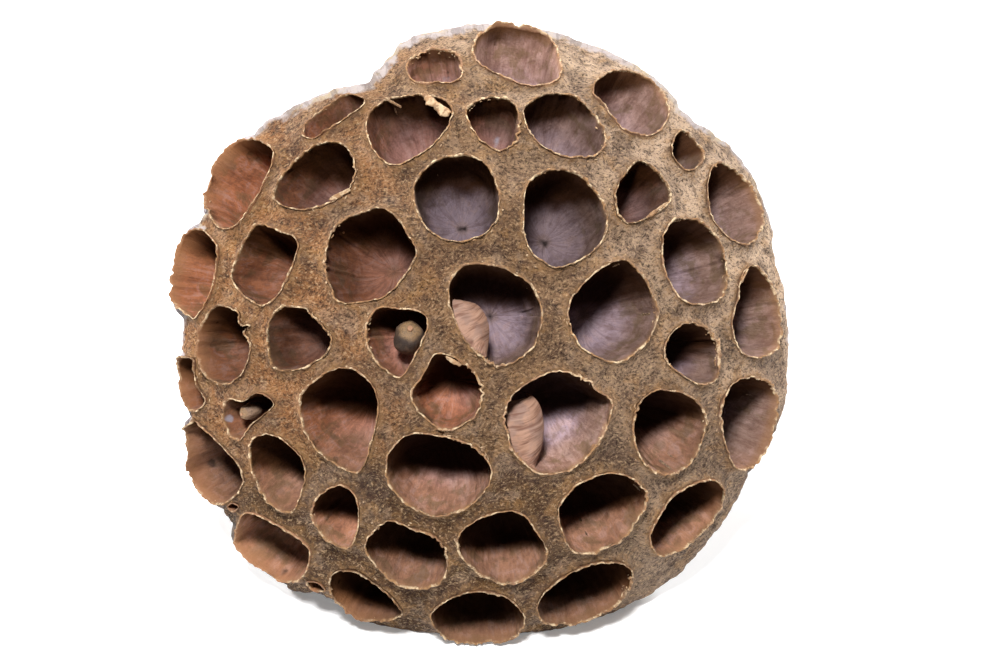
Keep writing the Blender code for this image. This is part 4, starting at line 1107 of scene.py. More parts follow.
# Torn strips that hang in from a lip: from one place of the lip to another, width, and how
# far they sink towards the chamber.
strips = {
    "skin": 0.16,
    "column": 0.16,
    "across": (-0.35, 1.0, 9),  # from outside the lip to the free edge, in so many points
    "usual": 0.75,       # the usual width, as a share of the full one
    "uneven": ((1.6, 0.30, 101), (0.5, 0.20, 131)),  # size, by how much, seed of the first strip
    "ends": (6, 0.06),   # how steeply the ends taper, and how wide their tips are
    "lift": 0.45,        # above the lips' dome at the lip
    "sinkPower": 1.6,
    "outward": 0.5,      # how steeply it goes down outside the lip
    "waves": (0.9, 0.16, 161),
    "list": ((-10.6, 46.4, -5.5, 42.6, 1.7, 0.7), (-18.0, 45.6, -15.2, 43.9, 0.7, 0.5),
             (-28.8, 25.6, -24.9, 27.6, 0.55, -0.3), (32.6, 22.2, 36.6, 25.1, 0.45, -0.2),
             (-6.4, -4.6, -3.4, -6.2, 0.7, 0.3), (51.0, 10.0, 52.4, 12.4, 0.7, 0.4),
             (46.9, -7.0, 46.7, -1.0, 0.6, 0.3)),
}


def tornStrips(mouths, material):
    blocks, parts, count = [], [], 0
    middles = np.array([mouth["middle"] for mouth in mouths])
    for number, (x0, y0, x1, y1, width, sink) in enumerate(strips["list"]):
        length = sqrt((x1 - x0) ** 2 + (y1 - y0) ** 2)
        s = np.linspace(0, 1, int(length / strips["column"]) + 4)
        line = onDome(np.column_stack([x0 + (x1 - x0) * s, y0 + (y1 - y0) * s]))
        chamber = middles[np.linalg.norm(middles - line.mean(0), axis=1).argmin()]
        inward = unit(chamber - line.mean(0))
        uneven = strips["usual"]
        for size, much, seed in strips["uneven"]:
            uneven = uneven + much * noise(line, size, seed + number)
        steep, tip = strips["ends"]
        reach = width * uneven * np.minimum(1, steep * np.minimum(s + tip, 1 + tip - s))
        v = np.linspace(*strips["across"])
        out = (line - sphereMiddle) / pod["lipSphere"]
        flat = line[:, None] + inward * (reach[:, None] * v)[:, :, None]
        lift = strips["lift"] - sink * np.maximum(v, 0) ** strips["sinkPower"]
        size, much, seed = strips["waves"]
        lift = lift - strips["outward"] * np.maximum(-v, 0) + much * noise(flat, size, seed + number)
        grid = flat + out[:, None] * lift[:, :, None]
        if np.cross(inward, line[-1] - line[0]) @ out[0] > 0:
            grid = grid[::-1]
        points, faces = thinSheet(grid, strips["skin"], count)
        blocks.append(points)
        parts += faces
        count += len(points)
    return addPiece("tornStrips", np.vstack(blocks), parts, {}, material)


# Crumbs of torn tissue outside the lips: small lumps sunk in the tissue, long along the lip,
# most of them where it is flaky. Each is a grid round its long axis, pushed about by noise.
crumbs = {
    "count": 1100,
    "everywhere": 0.07,      # the share of crumbs that an even stretch of lip gets
    "long": (0.14, 0.52),    # half-lengths, thin to thick
    "wide": (0.09, 0.24),
    "high": (0.06, 0.17),
    "mostlySmall": 1.6,      # the higher, the fewer large ones
    "swing": 0.5,            # they turn from the lip's direction by about this, in radians
    "tip": 0.35,             # and tip out of the tissue by this
    "least": 0.12,           # they lie at least this far outside the lip
    "beside": (0.35, 0.55),  # and this much more, and how much that varies
    # this share of those where flakiness passes the second hangs on the inside
    "inner": (0.45, 0.35),
    "innerDepth": (1.3, 1.5, 0.1),  # down to this depth, by this power, from this far above the lip
    "grid": (6, 9),          # rings and points in a ring of each
    "lumps": (0.75, 0.45, 111),  # size, height, seed
    "apart": 7.3,            # from one crumb to the next in their noise
    "seed": 5,
}


def lipCrumbs(mouths, material):
    draw = np.random.default_rng(crumbs["seed"])
    wide = [mouth["lip"] for mouth in mouths if mouth["radius"] > 2]
    lips = np.vstack(wide)
    along = np.vstack([np.roll(lip, -2, axis=0) - lip for lip in wide])
    length = np.linalg.norm(along, axis=1)
    weight = (crumbs["everywhere"] + flakiness(lips)) * length
    chosen = draw.choice(len(lips), crumbs["count"], p=weight / weight.sum())
    along = along[chosen] / column(length[chosen])
    lips = lips[chosen]
    out = (lips - sphereMiddle) / pod["lipSphere"]
    aside = np.cross(out, along)
    swing = column(draw.normal(0, crumbs["swing"], len(lips)))
    along, aside = (along * np.cos(swing) + aside * np.sin(swing),
                    aside * np.cos(swing) - along * np.sin(swing))
    tip = column(draw.normal(0, crumbs["tip"], len(lips)))
    along, out = along * np.cos(tip) + out * np.sin(tip), out * np.cos(tip) - along * np.sin(tip)
    size = draw.random((len(lips), 3)) ** crumbs["mostlySmall"]
    sizes = np.array([crumbs["long"], crumbs["wide"], crumbs["high"]])
    size = sizes[:, 0] + (sizes[:, 1] - sizes[:, 0]) * size
    beside = crumbs["least"] + np.abs(draw.normal(*crumbs["beside"], len(lips)))
    left = 1 - np.clip(1 - beside / face["rise"], 0, 1) ** 2
    sunk = pod["lipSphere"] - face["lipTissue"] + (face["lipTissue"] - pod["tissueSphere"]) * left
    place = lips - aside * column(beside) - out * column(sunk)
    onSheet = sheetPlace(place)
    clear = ~np.any([insideLoop(onSheet, sheetPlace(mouth["lip"])) for mouth in mouths], axis=0)
    share, flakyEnough = crumbs["inner"]
    hanging = (draw.random(len(lips)) < share) & (flakiness(lips) > flakyEnough)
    deepest, power, above = crumbs["innerDepth"]
    down = column(draw.random(len(lips)) ** power * deepest - above)
    place = np.where(column(hanging), lips - (lips - sphereMiddle) / pod["lipSphere"] * down, place)
    clear = clear | hanging
    place, along, aside, out, size = (part[clear] for part in (place, along, aside, out, size))

    rows, columns = crumbs["grid"]
    lat = ((np.arange(rows) + 1) * pi / (rows + 1))[:, None]
    lon = np.arange(columns) * 2 * pi / columns
    ball = np.stack([np.broadcast_to(np.cos(lat), (rows, columns)), np.sin(lat) * np.cos(lon),
                     np.sin(lat) * np.sin(lon)], axis=-1).reshape(-1, 3)
    ball = np.vstack([ball, (1.0, 0, 0), (-1.0, 0, 0)])
    grain, much, seed = crumbs["lumps"]
    apart = crumbs["apart"] * np.arange(len(place))[:, None, None]
    lump = 1 + much * noise(ball[None] + apart, grain, seed)
    local = ball[None] * lump[:, :, None] * size[:, None]
    points = place[:, None] + np.einsum("nij,njk->nik", local, np.stack([along, aside, out], axis=1))
    ends = rows * columns
    faces = [tubeFaces(rows, columns)[:, ::-1], fanFaces(np.arange(columns), ends),
             fanFaces((rows - 1) * columns + np.arange(columns)[::-1], ends + 1)]
    starts = (np.arange(len(place)) * (ends + 2))[:, None, None]
    faces = [(part[None] + starts).reshape(-1, part.shape[1]) for part in faces]
    return addPiece("lipCrumbs", points.reshape(-1, 3), faces, {}, material)


# Seeds: grids round an axis. The radius follows a profile along the axis, with a few soft
# lobes and fine wrinkles that run along it.
seeds = {
    "seed_middle": {"radius": 2.85, "length": 7.2, "middle": (-13.7, -1.0), "below": 5.6,
                    "axis": (0.10, 0.50, 0.86), "tall": 1.08, "dents": 0.22},
    "seed_left": {"radius": 1.6, "length": 5.6, "middle": (-44.4, -15.3), "below": 3.4,
                  "axis": (-0.62, -0.22, 0.75), "tall": 1.0, "dents": 0.14},
}

# Along the seed, as a share of its length, and out, as a share of its radius
seedShape = ((0.02, 0.0), (0.04, 0.45), (0.20, 0.84), (0.42, 1.0), (0.62, 0.97), (0.78, 0.83),
             (0.88, 0.58), (0.925, 0.32), (0.93, 0.22), (0.975, 0.18), (0.985, 0.0))

seedSkin = {
    "grid": (110, 120),
    "balance": 0.47,        # the place given is this far along the seed
    "lobes": ((0.035, 3, 0.6), (0.02, 5, 0.0)),  # height, how many, turn
    "wrinkles": ((1.1, 0.10, 81), (0.5, 0.05, 82)),  # size, height, seed
    "stretch": 3,           # wrinkles are this many times as long as wide
    "dents": (2.4, 83),
    "ends": 1.6,            # all of it fades where the radius is below 1 through this
}


def seedPiece(name, material):
    form = seeds[name]
    axis = unit(np.array(form["axis"]))
    side = unit(np.cross((0.0, 1.0, 0.0), axis))
    along = np.cross(axis, side)
    foot = onDome([form["middle"]], form["below"])[0] - axis * form["length"] * seedSkin["balance"]
    rows, columns = seedSkin["grid"]
    table = smoothRows(seedShape, np.linspace(0, len(seedShape) - 1, rows))
    height, share = table[:, :1], np.maximum(table[:, 1:], 0)
    turn = np.arange(columns) * 2 * pi / columns
    wave = 1
    for much, lobes, ahead in seedSkin["lobes"]:
        wave = wave + much * np.cos(lobes * turn + ahead)
    flat = (np.cos(turn) * wave)[:, None] * side + (np.sin(turn) * wave * form["tall"])[:, None] * along
    points = foot + (axis * form["length"]) * height[:, :, None] + flat * form["radius"] * share[:, :, None]
    tall = [np.cos(turn) * form["radius"], np.sin(turn) * form["radius"],
            height * form["length"] / seedSkin["stretch"]]
    tall = np.stack([np.broadcast_to(part, (rows, columns)) for part in tall], axis=-1)
    push = sum(much * noise(tall, size, seed) for size, much, seed in seedSkin["wrinkles"])
    push = push + form["dents"] * noise(points, *seedSkin["dents"])
    points = points + flat * (push * np.minimum(1, share * seedSkin["ends"]))[:, :, None]
    ends = points[1:-1].reshape(-1, 3)
    points = np.vstack([ends, points[0].mean(0), points[-1].mean(0)])
    last = (rows - 3) * columns + np.arange(columns)
    faces = [tubeFaces(rows - 2, columns), fanFaces(np.arange(columns)[::-1], len(ends)),
             fanFaces(last, len(ends) + 1)]
    length = np.concatenate([np.repeat(height[1:-1, 0], columns), [0, 1]])
    return addPiece(name + "_grown", points, faces, {"along": length}, material, name)


# The light: a soft round lamp above the eye's line, two dimmer ones behind the pod that fill
# its shadow on the floor, and hardly any sky
studio = {
    "aim": (4.6, -0.6, 0.0),    # the camera looks at this point of the rim's plane
    "lens": 91.8,
    "lamps": {                  # place in the world in metres, size, power
        "softLamp": ((-0.12, -0.52, 1.19), 0.24, 27.5),
        "fillLeft": ((-1.1, 0.8, 0.8), 0.8, 34.0),
        "fillRight": ((1.1, 0.8, 0.8), 0.8, 34.0),
    },
    "sky": 0.05,
    "brightness": 1.4,          # what a white surface sends back there; colors are divided by it
    "paper": (0.34, 0.60),      # the white paper darkens from this distance to that one, in metres
    "paperGlow": 0.22,          # lit a little from below
}


# A color as it looks in that light, from 0 to 255 each, as the surface's own linear color
def tint(red, green, blue):
    shown = np.array([red, green, blue]) / 255
    linear = np.where(shown > 0.04045, ((shown + 0.055) / 1.055) ** 2.4, shown / 12.92)
    return (*(linear / studio["brightness"]).tolist(), 1.0)


def feed(tree, socket, value):
    if isinstance(value, bpy.types.NodeSocket):
        tree.links.new(value, socket)
    else:
        socket.default_value = value


def addNode(tree, kind, settings=None, **inputs):
    made = tree.nodes.new("ShaderNode" + kind)
    for label, value in (settings or {}).items():
        setattr(made, label, value)
    for label, value in inputs.items():
        feed(tree, made.inputs[label.replace("_", " ")], value)
    return made


def mixed(tree, share, first, second, blend="MIX"):
    made = tree.nodes.new("ShaderNodeMix")
    made.data_type = "RGBA"
    made.blend_type = blend
    for number, value in ((0, share), (6, first), (7, second)):
        feed(tree, made.inputs[number], value)
    return made.outputs[2]


def worked(tree, operation, *values):
    made = tree.nodes.new("ShaderNodeMath")
    made.operation = operation
    for number, value in enumerate(values):
        feed(tree, made.inputs[number], value)
    return made.outputs[0]


def mapped(tree, value, low, high, start=0.0, end=1.0):
    made = addNode(tree, "MapRange", {"interpolation_type": "SMOOTHSTEP"}, Value=value, From_Min=low,
                   From_Max=high, To_Min=start, To_Max=end)
    return made.outputs[0]


def scaled(tree, vector, factors):
    return addNode(tree, "Mapping", {"vector_type": "POINT"}, Vector=vector, Scale=factors).outputs[0]


def cloud(tree, vector, scale, detail=3.0, roughness=0.55, distortion=0.0):
    made = addNode(tree, "TexNoise", None, Vector=vector, Scale=scale, Detail=detail,
                   Roughness=roughness, Distortion=distortion)
    return made.outputs["Fac"]


def newGroup(name, inputs, outputs):
    tree = bpy.data.node_groups.new(name, "ShaderNodeTree")
    for direction, sockets in (("INPUT", inputs), ("OUTPUT", outputs)):
        for label, kind in sockets.items():
            tree.interface.new_socket(name=label, in_out=direction, socket_type="NodeSocket" + kind)
    return tree, tree.nodes.new("NodeGroupInput").outputs, tree.nodes.new("NodeGroupOutput").inputs


def grouped(tree, group, **inputs):
    made = tree.nodes.new("ShaderNodeGroup")
    made.node_tree = group
    for label, value in inputs.items():
        feed(tree, made.inputs[label], value)
    return made.outputs


# Layers of paint, each where one of the values passes from low to high: the value's name, low,
# high, share and color
def painted(tree, under, values, layers):
    for label, low, high, share, color in layers:
        mask = worked(tree, "MULTIPLY", mapped(tree, values[label], low, high), share)
        under = mixed(tree, mask, under, tint(*color))
    return under


def bumped(tree, shader, height, strength, distance):
    bump = addNode(tree, "Bump", None, Strength=strength, Distance=distance, Height=height)
    feed(tree, shader.inputs["Normal"], bump.outputs[0])


# Patches: soft noise of one size, cut to a mask between two levels
def patchesGroup():
    tree, given, result = newGroup("patches", {"Place": "Vector", "Size": "Float", "Low": "Float",
                                               "High": "Float"}, {"Mask": "Float"})
    scale = worked(tree, "DIVIDE", 1.0, given["Size"])
    value = cloud(tree, given["Place"], scale, 4.0, 0.6, 0.4)
    feed(tree, result["Mask"], mapped(tree, value, given["Low"], given["High"]))
    return tree


# Felt: fibres that run two ways, one or the other by patches
def feltGroup():
    tree, given, result = newGroup("felt", {"Place": "Vector"}, {"Fibre": "Float", "Grain": "Float"})
    warp = addNode(tree, "TexNoise", None, Vector=given["Place"], Scale=0.35, Detail=2.0).outputs["Color"]
    bent = addNode(tree, "VectorMath", {"operation": "MULTIPLY_ADD"})
    feed(tree, bent.inputs[0], warp)
    feed(tree, bent.inputs[1], (2.2, 2.2, 2.2))
    feed(tree, bent.inputs[2], given["Place"])
    ways = []
    for angle, offset in ((0.55, 0.0), (-0.3, 31.0)):
        turned = addNode(tree, "Mapping", {"vector_type": "TEXTURE"}, Vector=bent.outputs[0],
                         Location=(offset, 0, 0), Rotation=(0, 0, angle), Scale=(0.85, 0.42, 0.6))
        ways.append(cloud(tree, turned.outputs[0], 1.0, 5.0, 0.72))
    pick = mapped(tree, cloud(tree, given["Place"], 0.28, 2.0), 0.42, 0.58)
    picked = addNode(tree, "Mix", {"data_type": "FLOAT"}, Factor=pick, A=ways[0], B=ways[1])
    feed(tree, result["Fibre"], picked.outputs[0])
    feed(tree, result["Grain"], cloud(tree, given["Place"], 2.3, 4.0, 0.7))
    return tree


# Across the pod: colors for its left, its middle, its top right and its lower part
def acrossGroup():
    tree, given, result = newGroup("across", {"Place": "Vector", "Shift": "Float", "Left": "Color",
                                              "Middle": "Color", "Right": "Color", "Low": "Color"},
                                   {"Color": "Color"})
    apart = addNode(tree, "SeparateXYZ", None, Vector=given["Place"])
    wave = worked(tree, "MULTIPLY_ADD", cloud(tree, given["Place"], 0.06, 2.0), 34.0, -17.0)
    wave = worked(tree, "ADD", wave, given["Shift"])
    x = worked(tree, "ADD", apart.outputs["X"], wave)
    y = worked(tree, "SUBTRACT", apart.outputs["Y"], wave)
    corner = worked(tree, "ADD", x, apart.outputs["Y"])
    color = mixed(tree, mapped(tree, x, -34.0, 2.0), given["Left"], given["Middle"])
    color = mixed(tree, mapped(tree, y, -12.0, -36.0), color, given["Low"])
    feed(tree, result["Color"], mixed(tree, mapped(tree, corner, 26.0, 80.0), color, given["Right"]))
    return tree


# Torn edges: pale and tan flecks with darker breaks
def tornGroup(patches):
    tree, given, result = newGroup("tornEdge", {"Place": "Vector"}, {"Color": "Color"})
    pale = grouped(tree, patches, Place=given["Place"], Size=2.0, Low=0.45, High=0.57)["Mask"]
    breaks = grouped(tree, patches, Place=given["Place"], Size=1.3, Low=0.50, High=0.58)["Mask"]
    color = mixed(tree, pale, tint(176, 134, 92), tint(236, 208, 168))
    feed(tree, result["Color"], mixed(tree, worked(tree, "MULTIPLY", breaks, 0.85), color, tint(128, 94, 66)))
    return tree


def newMaterial(name, roughness=0.5):
    made = bpy.data.materials.new(name)
    made.use_nodes = True
    shader = made.node_tree.nodes["Principled BSDF"]
    shader.inputs["Roughness"].default_value = roughness
    return made, made.node_tree, shader


def mark(tree, label, output="Fac"):
    made = tree.nodes.new("ShaderNodeAttribute")
    made.attribute_name = label
    return made.outputs[output]


# White paper in a dark room
def paperLook():
    made, tree, shader = newMaterial("paperLook", 0.9)
    place = addNode(tree, "TexCoord").outputs["Object"]
    far = addNode(tree, "VectorMath", {"operation": "LENGTH"})
    feed(tree, far.inputs[0], place)
    near, dark = studio["paper"]
    share = mapped(tree, far.outputs["Value"], near, dark)
    feed(tree, shader.inputs["Base Color"], mixed(tree, share, (0.92, 0.92, 0.92, 1), (0.10, 0.10, 0.10, 1)))
    feed(tree, shader.inputs["Emission Color"], mixed(tree, share, (1, 1, 1, 1), (0, 0, 0, 1)))
    shader.inputs["Emission Strength"].default_value = studio["paperGlow"]
    return made


# The pod's colors across it: left, middle, right and low
def acrossPod(tree, groups, place, shift, colors):
    left, middle, right, low = (tint(*color) for color in colors)
    return grouped(tree, groups["across"], Place=place, Shift=shift, Left=left, Middle=middle,
                   Right=right, Low=low)["Color"]


# The tissue's paint. Layers hold a value's name, low, high, share and color; patches hold
# their size, low, high, share and color.
tissue = {
    # the dark low color is partly painted shade on the dome's lower part, which faces away from the lamp
    "across": ((168, 114, 70), (144, 110, 80), (232, 200, 170), (86, 57, 30)),  # left, middle, right, low
    "patches": ((9.0, 0.47, 0.60, 0.60, (92, 66, 52)), (6.5, 0.50, 0.62, 0.42, (178, 150, 126)),
                (5.2, 0.54, 0.64, 0.42, (180, 132, 78)), (2.8, 0.50, 0.62, 0.55, (78, 52, 42))),
    "right": (("x", 8.0, 42.0, 0.52, (212, 182, 154)),),
    "felt": (("fibre", 0.49, 0.39, 0.85, (44, 28, 18)), ("fibre", 0.52, 0.63, 0.70, (216, 180, 138)),
             ("pits", 0.46, 0.35, 0.80, (38, 23, 14)), ("pits", 0.59, 0.69, 0.62, (234, 200, 148)),
             ("toMouth", 2.6, 0.2, 0.16, (160, 124, 92))),
    # patches beside the mouths: from the first distance to the second, then as above
    "lips": ((2.6, 0.2, 1.1, 0.48, 0.60, 0.42, (184, 138, 88)),
             (0.9, 0.1, 3.0, 0.44, 0.56, 0.65, (196, 150, 98)),
             (1.2, 0.1, 2.2, 0.40, 0.56, 0.55, (96, 68, 48))),
    # the dark marks' color, painted shade in the torn slit
    "darkMark": (54, 40, 36),
    "skin": ((204, 190, 186), (206, 184, 154)),
    "skinLayers": (("toRim", 1.4, 0.0, 1.0, (192, 182, 186)), ("toRim", -2.0, -8.0, 1.0, (164, 144, 128)),
                   ("y", -8.0, -34.0, 1.0, (68, 56, 48)), ("veins", 0.46, 0.34, 0.55, (128, 106, 88)),
                   ("veins", 0.54, 0.66, 0.40, (214, 200, 186)), ("grain", 0.50, 0.40, 0.50, (120, 106, 104)),
                   ("pits", 0.52, 0.62, 0.40, (216, 206, 200))),
    "skinFrom": (7.0, -0.6, 0.056),  # the skin's upper edge: how wavy, how high, and higher by y
    "cut": ((140, 112, 82), (206, 182, 142)),
}


# The spongy face, the grey skin that starts short of the rim, and the cut stem
def tissueLook(groups):
    made, tree, shader = newMaterial("tissueLook", 0.86)
    shader.inputs["Specular IOR Level"].default_value = 0.25
    place = mark(tree, "grown", "Vector")
    felt = grouped(tree, groups["felt"], Place=place)
    apart = addNode(tree, "SeparateXYZ", None, Vector=place).outputs
    around = addNode(tree, "VectorMath", {"operation": "NORMALIZE"})
    feed(tree, around.inputs[0], scaled(tree, place, (1.0, 1.0, 0.0)))
    down = addNode(tree, "VectorMath", {"operation": "MULTIPLY_ADD"})
    feed(tree, down.inputs[0], around.outputs[0])
    feed(tree, down.inputs[1], (34.0, 34.0, 0.0))
    feed(tree, down.inputs[2], scaled(tree, place, (0.06, 0.06, 0.12)))
    values = {"x": apart["X"], "y": apart["Y"], "fibre": felt["Fibre"], "pits": felt["Grain"],
              "toMouth": mark(tree, "toMouth"), "toRim": mark(tree, "toRim"),
              "grain": cloud(tree, down.outputs[0], 0.9, 5.0, 0.65, 0.4),
              "veins": cloud(tree, down.outputs[0], 0.32, 3.0, 0.55, 0.6)}

    def spots(size, low, high, share=1.0):
        mask = grouped(tree, groups["patches"], Place=place, Size=size, Low=low, High=high)["Mask"]
        return worked(tree, "MULTIPLY", mask, share)

    color = acrossPod(tree, groups, place, 0.0, tissue["across"])
    color = painted(tree, color, values, tissue["right"])
    for size, low, high, share, patch in tissue["patches"]:
        color = mixed(tree, spots(size, low, high, share), color, tint(*patch))
    color = painted(tree, color, values, tissue["felt"])
    for far, near, size, low, high, share, patch in tissue["lips"]:
        beside = mapped(tree, values["toMouth"], far, near)
        mask = worked(tree, "MULTIPLY", beside, spots(size, low, high, share))
        color = mixed(tree, mask, color, tint(*patch))
    markGrain = mapped(tree, cloud(tree, place, 1.1, 4.0, 0.7), 0.56, 0.44)
    darkMark = worked(tree, "MULTIPLY", mark(tree, "darkMark"), markGrain)
    color = mixed(tree, darkMark, color, tint(*tissue["darkMark"]))

    grey, tan = (tint(*shade) for shade in tissue["skin"])
    skin = mixed(tree, spots(5.0, 0.50, 0.62), grey, tan)
    skin = painted(tree, skin, values, tissue["skinLayers"])
    wavy, high, byHeight = tissue["skinFrom"]
    band = worked(tree, "MULTIPLY_ADD", cloud(tree, place, 0.45, 3.0), wavy, high)
    band = worked(tree, "MULTIPLY_ADD", values["y"], byHeight, band)
    past = worked(tree, "SUBTRACT", values["toRim"], band)
    color = mixed(tree, mapped(tree, past, 1.1, -1.1), color, skin)
    dark, pale = (tint(*shade) for shade in tissue["cut"])
    cut = mixed(tree, mapped(tree, values["pits"], 0.42, 0.56), dark, pale)
    isCut = mapped(tree, values["toRim"], cutEnd["mark"] + 50, cutEnd["mark"] + 49)
    feed(tree, shader.inputs["Base Color"], mixed(tree, isCut, color, cut))

    relief = worked(tree, "ADD", values["fibre"], worked(tree, "MULTIPLY", values["pits"], 0.8))
    skinRelief = worked(tree, "MULTIPLY", worked(tree, "ADD", values["grain"], values["veins"]), 1.3)
    relief = mixed(tree, mapped(tree, values["toRim"], 0.5, -1.5), relief, skinRelief)
    bumped(tree, shader, relief, 0.9, 0.0008)
    return made


# The linings' paint, in layers as above: under and over the olive patches, and on top of all
papery = {
    "wall": ((166, 104, 70), (140, 112, 100), (152, 120, 108), (164, 118, 92)),   # left, middle, right, low
    "floor": ((178, 115, 84), (156, 136, 146), (164, 136, 134), (196, 148, 124)),
    "streaks": (("wide", 0.50, 0.40, 0.26, (98, 64, 52)), ("wide", 0.52, 0.62, 0.20, (188, 160, 152)),
                ("soft", 0.50, 0.38, 0.32, (92, 62, 52)), ("soft", 0.54, 0.64, 0.30, (182, 148, 140)),
                ("fine", 0.49, 0.40, 0.22, (88, 56, 46))),
    "olive": (106, 84, 56),
    "ends": (("deep", 0.12, 0.0, 0.55, (154, 114, 80)), ("toPole", 1.9, 1.0, 0.22, (160, 126, 96)),
             ("grain", 0.48, 0.38, 0.18, (84, 56, 46))),
    # the painted shade on a chamber's upper part
    "shade": (50, 27, 12),
    # the painted glow of light through bare outer walls
    "bareAndGlow": (178, 122, 84),
    # painted glints, pale, and dark spots
    "spots": (("spot", 0.25, 0.75, 0.65, (176, 176, 190)), ("spot", -0.25, -0.75, 0.75, (38, 24, 18))),
    # the crack's painted shade and the scar's own dark
    "dark": (24, 13, 9),
}


# The papery linings: tan at the lip, red-brown down the wall, mauve on the floor, with painted shade on each
# chamber's upper part, a painted glow on bare outer lips and painted glints
def liningLook(groups):
    made, tree, shader = newMaterial("liningLook")
    place = mark(tree, "grown", "Vector")
    streak = mark(tree, "streak", "Vector")
    deep, bareAndGlow, shade, toEdge = (mark(tree, label) for label in ("deep", "bareAndGlow", "shade", "toEdge"))
    fine = cloud(tree, streak, 2.2, 4.0, 0.65, 0.3)
    grain = cloud(tree, place, 2.4, 4.0, 0.7)
    values = {"deep": deep, "toPole": mark(tree, "toPole"), "spot": mark(tree, "spot"), "fine": fine,
              "grain": grain, "wide": cloud(tree, streak, 0.62, 3.0, 0.6, 0.6),
              "soft": cloud(tree, place, 0.42, 4.0, 0.6, 0.8)}

    shift = worked(tree, "MULTIPLY", mark(tree, "tone"), 16.0)
    wallColor = acrossPod(tree, groups, place, shift, papery["wall"])
    floorColor = acrossPod(tree, groups, place, shift, papery["floor"])
    floorShare = worked(tree, "ADD", deep, worked(tree, "MULTIPLY", cloud(tree, place, 0.22, 2.0), 0.36))
    under = mixed(tree, mapped(tree, floorShare, 0.55, 1.0), wallColor, floorColor)
    under = painted(tree, under, values, papery["streaks"])
    olive = grouped(tree, groups["patches"], Place=place, Size=4.5, Low=0.50, High=0.62)["Mask"]
    olive = worked(tree, "MULTIPLY", olive, mapped(tree, deep, 0.95, 0.60, 0.0, 0.55))
    under = mixed(tree, olive, under, tint(*papery["olive"]))
    under = painted(tree, under, values, papery["ends"])
    # each chamber's brightness, partly painted light and shade
    under = mixed(tree, 1.0, under, mark(tree, "bright"), "MULTIPLY")
    # painted shade on the chamber's upper part
    under = mixed(tree, worked(tree, "MULTIPLY", shade, 0.93), under, tint(*papery["shade"]))
    # a warm painted glow near bare outer lips
    glowShare = worked(tree, "MULTIPLY", bareAndGlow, mapped(tree, toEdge, 6.0, 0.4, 0.0, 0.65))
    under = mixed(tree, glowShare, under, tint(*papery["bareAndGlow"]))
    under = painted(tree, under, values, papery["spots"])
    under = mixed(tree, mark(tree, "dark"), under, tint(*papery["dark"]))
    frayed = mapped(tree, cloud(tree, place, 1.1, 3.0, 0.7), 0.40, 0.58, 0.30, 1.0)
    frayed = worked(tree, "MULTIPLY", frayed, mapped(tree, bareAndGlow, 0.0, 1.0, 1.0, 0.3))
    share = worked(tree, "MULTIPLY", mapped(tree, toEdge, 0.62, 0.15), frayed)
    edge = grouped(tree, groups["torn"], Place=place)["Color"]
    feed(tree, shader.inputs["Base Color"], mixed(tree, share, under, edge))
    feed(tree, shader.inputs["Roughness"], mapped(tree, deep, 0.0, 0.6, 0.85, 0.60))
    # and no reflection where the shade is painted
    feed(tree, shader.inputs["Specular IOR Level"], mapped(tree, shade, 0.0, 0.5, 0.22, 0.0))
    bumped(tree, shader, worked(tree, "ADD", fine, grain), 0.6, 0.0004)
    return made


# The loose linings' paint: two colors in patches, then layers as above; the last paints the folds' hollows
# dark, as painted shade
loosePaint = {
    "base": ((178, 136, 112), (156, 122, 106)),
    "layers": (("lines", 0.49, 0.36, 0.80, (112, 68, 48)), ("lines", 0.54, 0.68, 0.40, (204, 170, 146)),
               ("relief", -0.05, -0.25, 1.0, (118, 76, 58))),
}


def looseLook(groups):
    made, tree, shader = newMaterial("looseLook", 0.72)
    place = mark(tree, "grown", "Vector")
    lines = cloud(tree, scaled(tree, mark(tree, "fold", "Vector"), (1.0, 0.5, 0.0)), 1.7, 4.0, 0.65)
    values = {"lines": lines, "relief": mark(tree, "relief")}
    spots = grouped(tree, groups["patches"], Place=place, Size=3.0, Low=0.42, High=0.62)["Mask"]
    first, second = (tint(*shade) for shade in loosePaint["base"])
    color = mixed(tree, spots, first, second)
    feed(tree, shader.inputs["Base Color"], painted(tree, color, values, loosePaint["layers"]))
    bumped(tree, shader, lines, 0.5, 0.00035)
    return made


def crumbLook(groups):
    made, tree, shader = newMaterial("crumbLook", 0.85)
    place = mark(tree, "grown", "Vector")
    color = mixed(tree, 0.4, grouped(tree, groups["torn"], Place=place)["Color"], tint(170, 130, 94))
    feed(tree, shader.inputs["Base Color"], color)
    bumped(tree, shader, cloud(tree, place, 3.0, 3.0), 0.5, 0.0002)
    return made


# The seeds' paint: two colors in patches for each, then what they share
seedPaint = {
    "seed_middle": {"material": "seedMiddleLook", "base": ((116, 92, 72), (72, 58, 50))},
    "seed_left": {"material": "seedLeftLook", "base": ((160, 130, 106), (126, 98, 78))},
    "grain": (("grain", 0.50, 0.36, 0.5, (60, 50, 42)),),
    "top": (164, 128, 86),
    "tip": (("along", 0.935, 0.96, 1.0, (176, 130, 96)),),
}


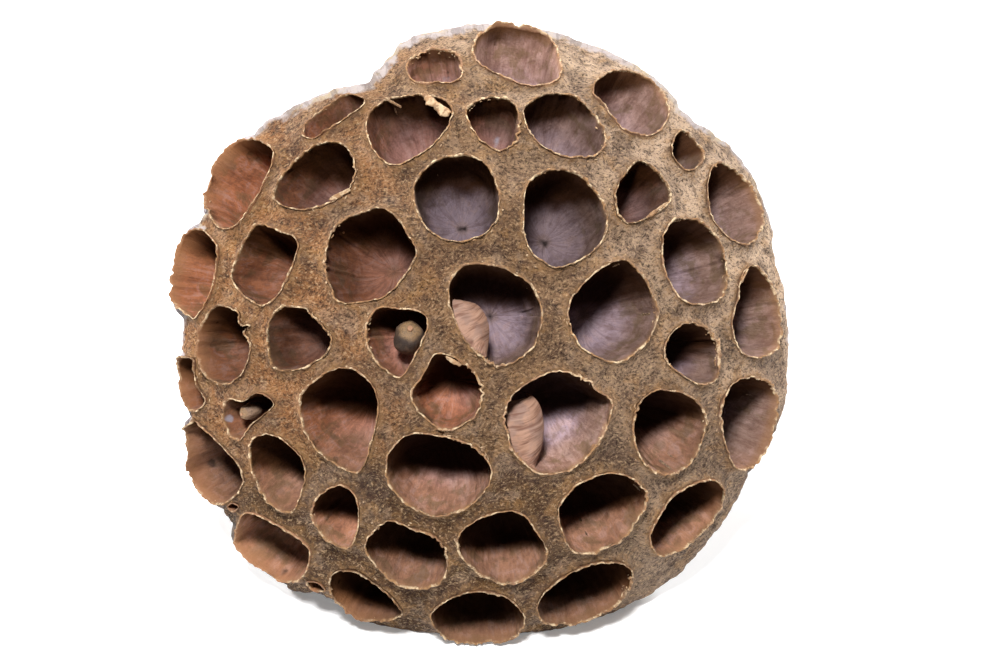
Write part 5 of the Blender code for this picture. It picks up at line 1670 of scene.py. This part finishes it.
def seedLook(name, groups):
    made, tree, shader = newMaterial(seedPaint[name]["material"], 0.62)
    place = mark(tree, "grown", "Vector")
    grain = grouped(tree, groups["felt"], Place=scaled(tree, place, (1.6, 1.6, 1.6)))["Grain"]
    values = {"along": mark(tree, "along"), "grain": grain}
    spots = grouped(tree, groups["patches"], Place=place, Size=2.6, Low=0.42, High=0.60)["Mask"]
    first, second = (tint(*shade) for shade in seedPaint[name]["base"])
    color = mixed(tree, spots, first, second)
    color = painted(tree, color, values, seedPaint["grain"])
    top = mapped(tree, values["along"], 0.78, 0.90)
    top = worked(tree, "MULTIPLY", top, mapped(tree, grain, 0.40, 0.56, 0.4, 1.0))
    color = mixed(tree, worked(tree, "MULTIPLY", top, 0.8), color, tint(*seedPaint["top"]))
    feed(tree, shader.inputs["Base Color"], painted(tree, color, values, seedPaint["tip"]))
    bumped(tree, shader, grain, 0.5, 0.0003)
    return made


def addLamps():
    for name, (place, size, power) in studio["lamps"].items():
        lamp = bpy.data.lights.new(name, "AREA")
        lamp.shape = "DISK"
        lamp.size = size
        lamp.energy = power
        thing = addObject(name, lamp)
        thing.location = place
        thing.rotation_euler = Vector(place).to_track_quat("Z", "Y").to_euler()


def addCamera():
    eye, aim, up, zero = leaned([(0, 0, pod["eye"]), studio["aim"], (0, 1, 0), (0, 0, 0)]) * 0.001
    back = Vector(eye - aim).normalized()
    right = Vector(up - zero).cross(back).normalized()
    made = bpy.data.cameras.new("camera")
    made.lens = studio["lens"]
    made.sensor_width = 36
    thing = addObject("camera", made)
    turn = Matrix((right, back.cross(right), back)).transposed()
    thing.matrix_world = Matrix.Translation(eye) @ turn.to_4x4()
    bpy.context.scene.camera = thing


def addFloor():
    mesh = bpy.data.meshes.new("floor")
    mesh.from_pydata([(-3, -3, 0), (3, -3, 0), (3, 3, 0), (-3, 3, 0)], [], [(0, 1, 2, 3)])
    mesh.materials.append(paperLook())
    addObject("floor", mesh)


patches = patchesGroup()
groups = {"patches": patches, "felt": feltGroup(), "across": acrossGroup(), "torn": tornGroup(patches)}
mouths = [readMouth(name, number) for number, name in enumerate(mouthOutlines)]
print("read", len(mouths), "mouths")
podBody(mouths, tissueLook(groups))
paper = liningLook(groups)
for part, name in enumerate(("liningsTop", "liningsMiddle", "liningsBottom")):
    chamberLinings(mouths[part * 16:part * 16 + 16], name, paper)
looseLinings(looseLook(groups))
crumbPaper = crumbLook(groups)
tornStrips(mouths, crumbPaper)
lipCrumbs(mouths, crumbPaper)
for name in seeds:
    seedPiece(name, seedLook(name, groups))

addFloor()
addLamps()
world = bpy.data.worlds.new("world")
world.use_nodes = True
world.node_tree.nodes["Background"].inputs["Color"].default_value = (1, 1, 1, 1)
world.node_tree.nodes["Background"].inputs["Strength"].default_value = studio["sky"]
bpy.context.scene.world = world
bpy.context.scene.view_settings.view_transform = "Standard"
addCamera()
print("added the floor, the lamps and the camera")
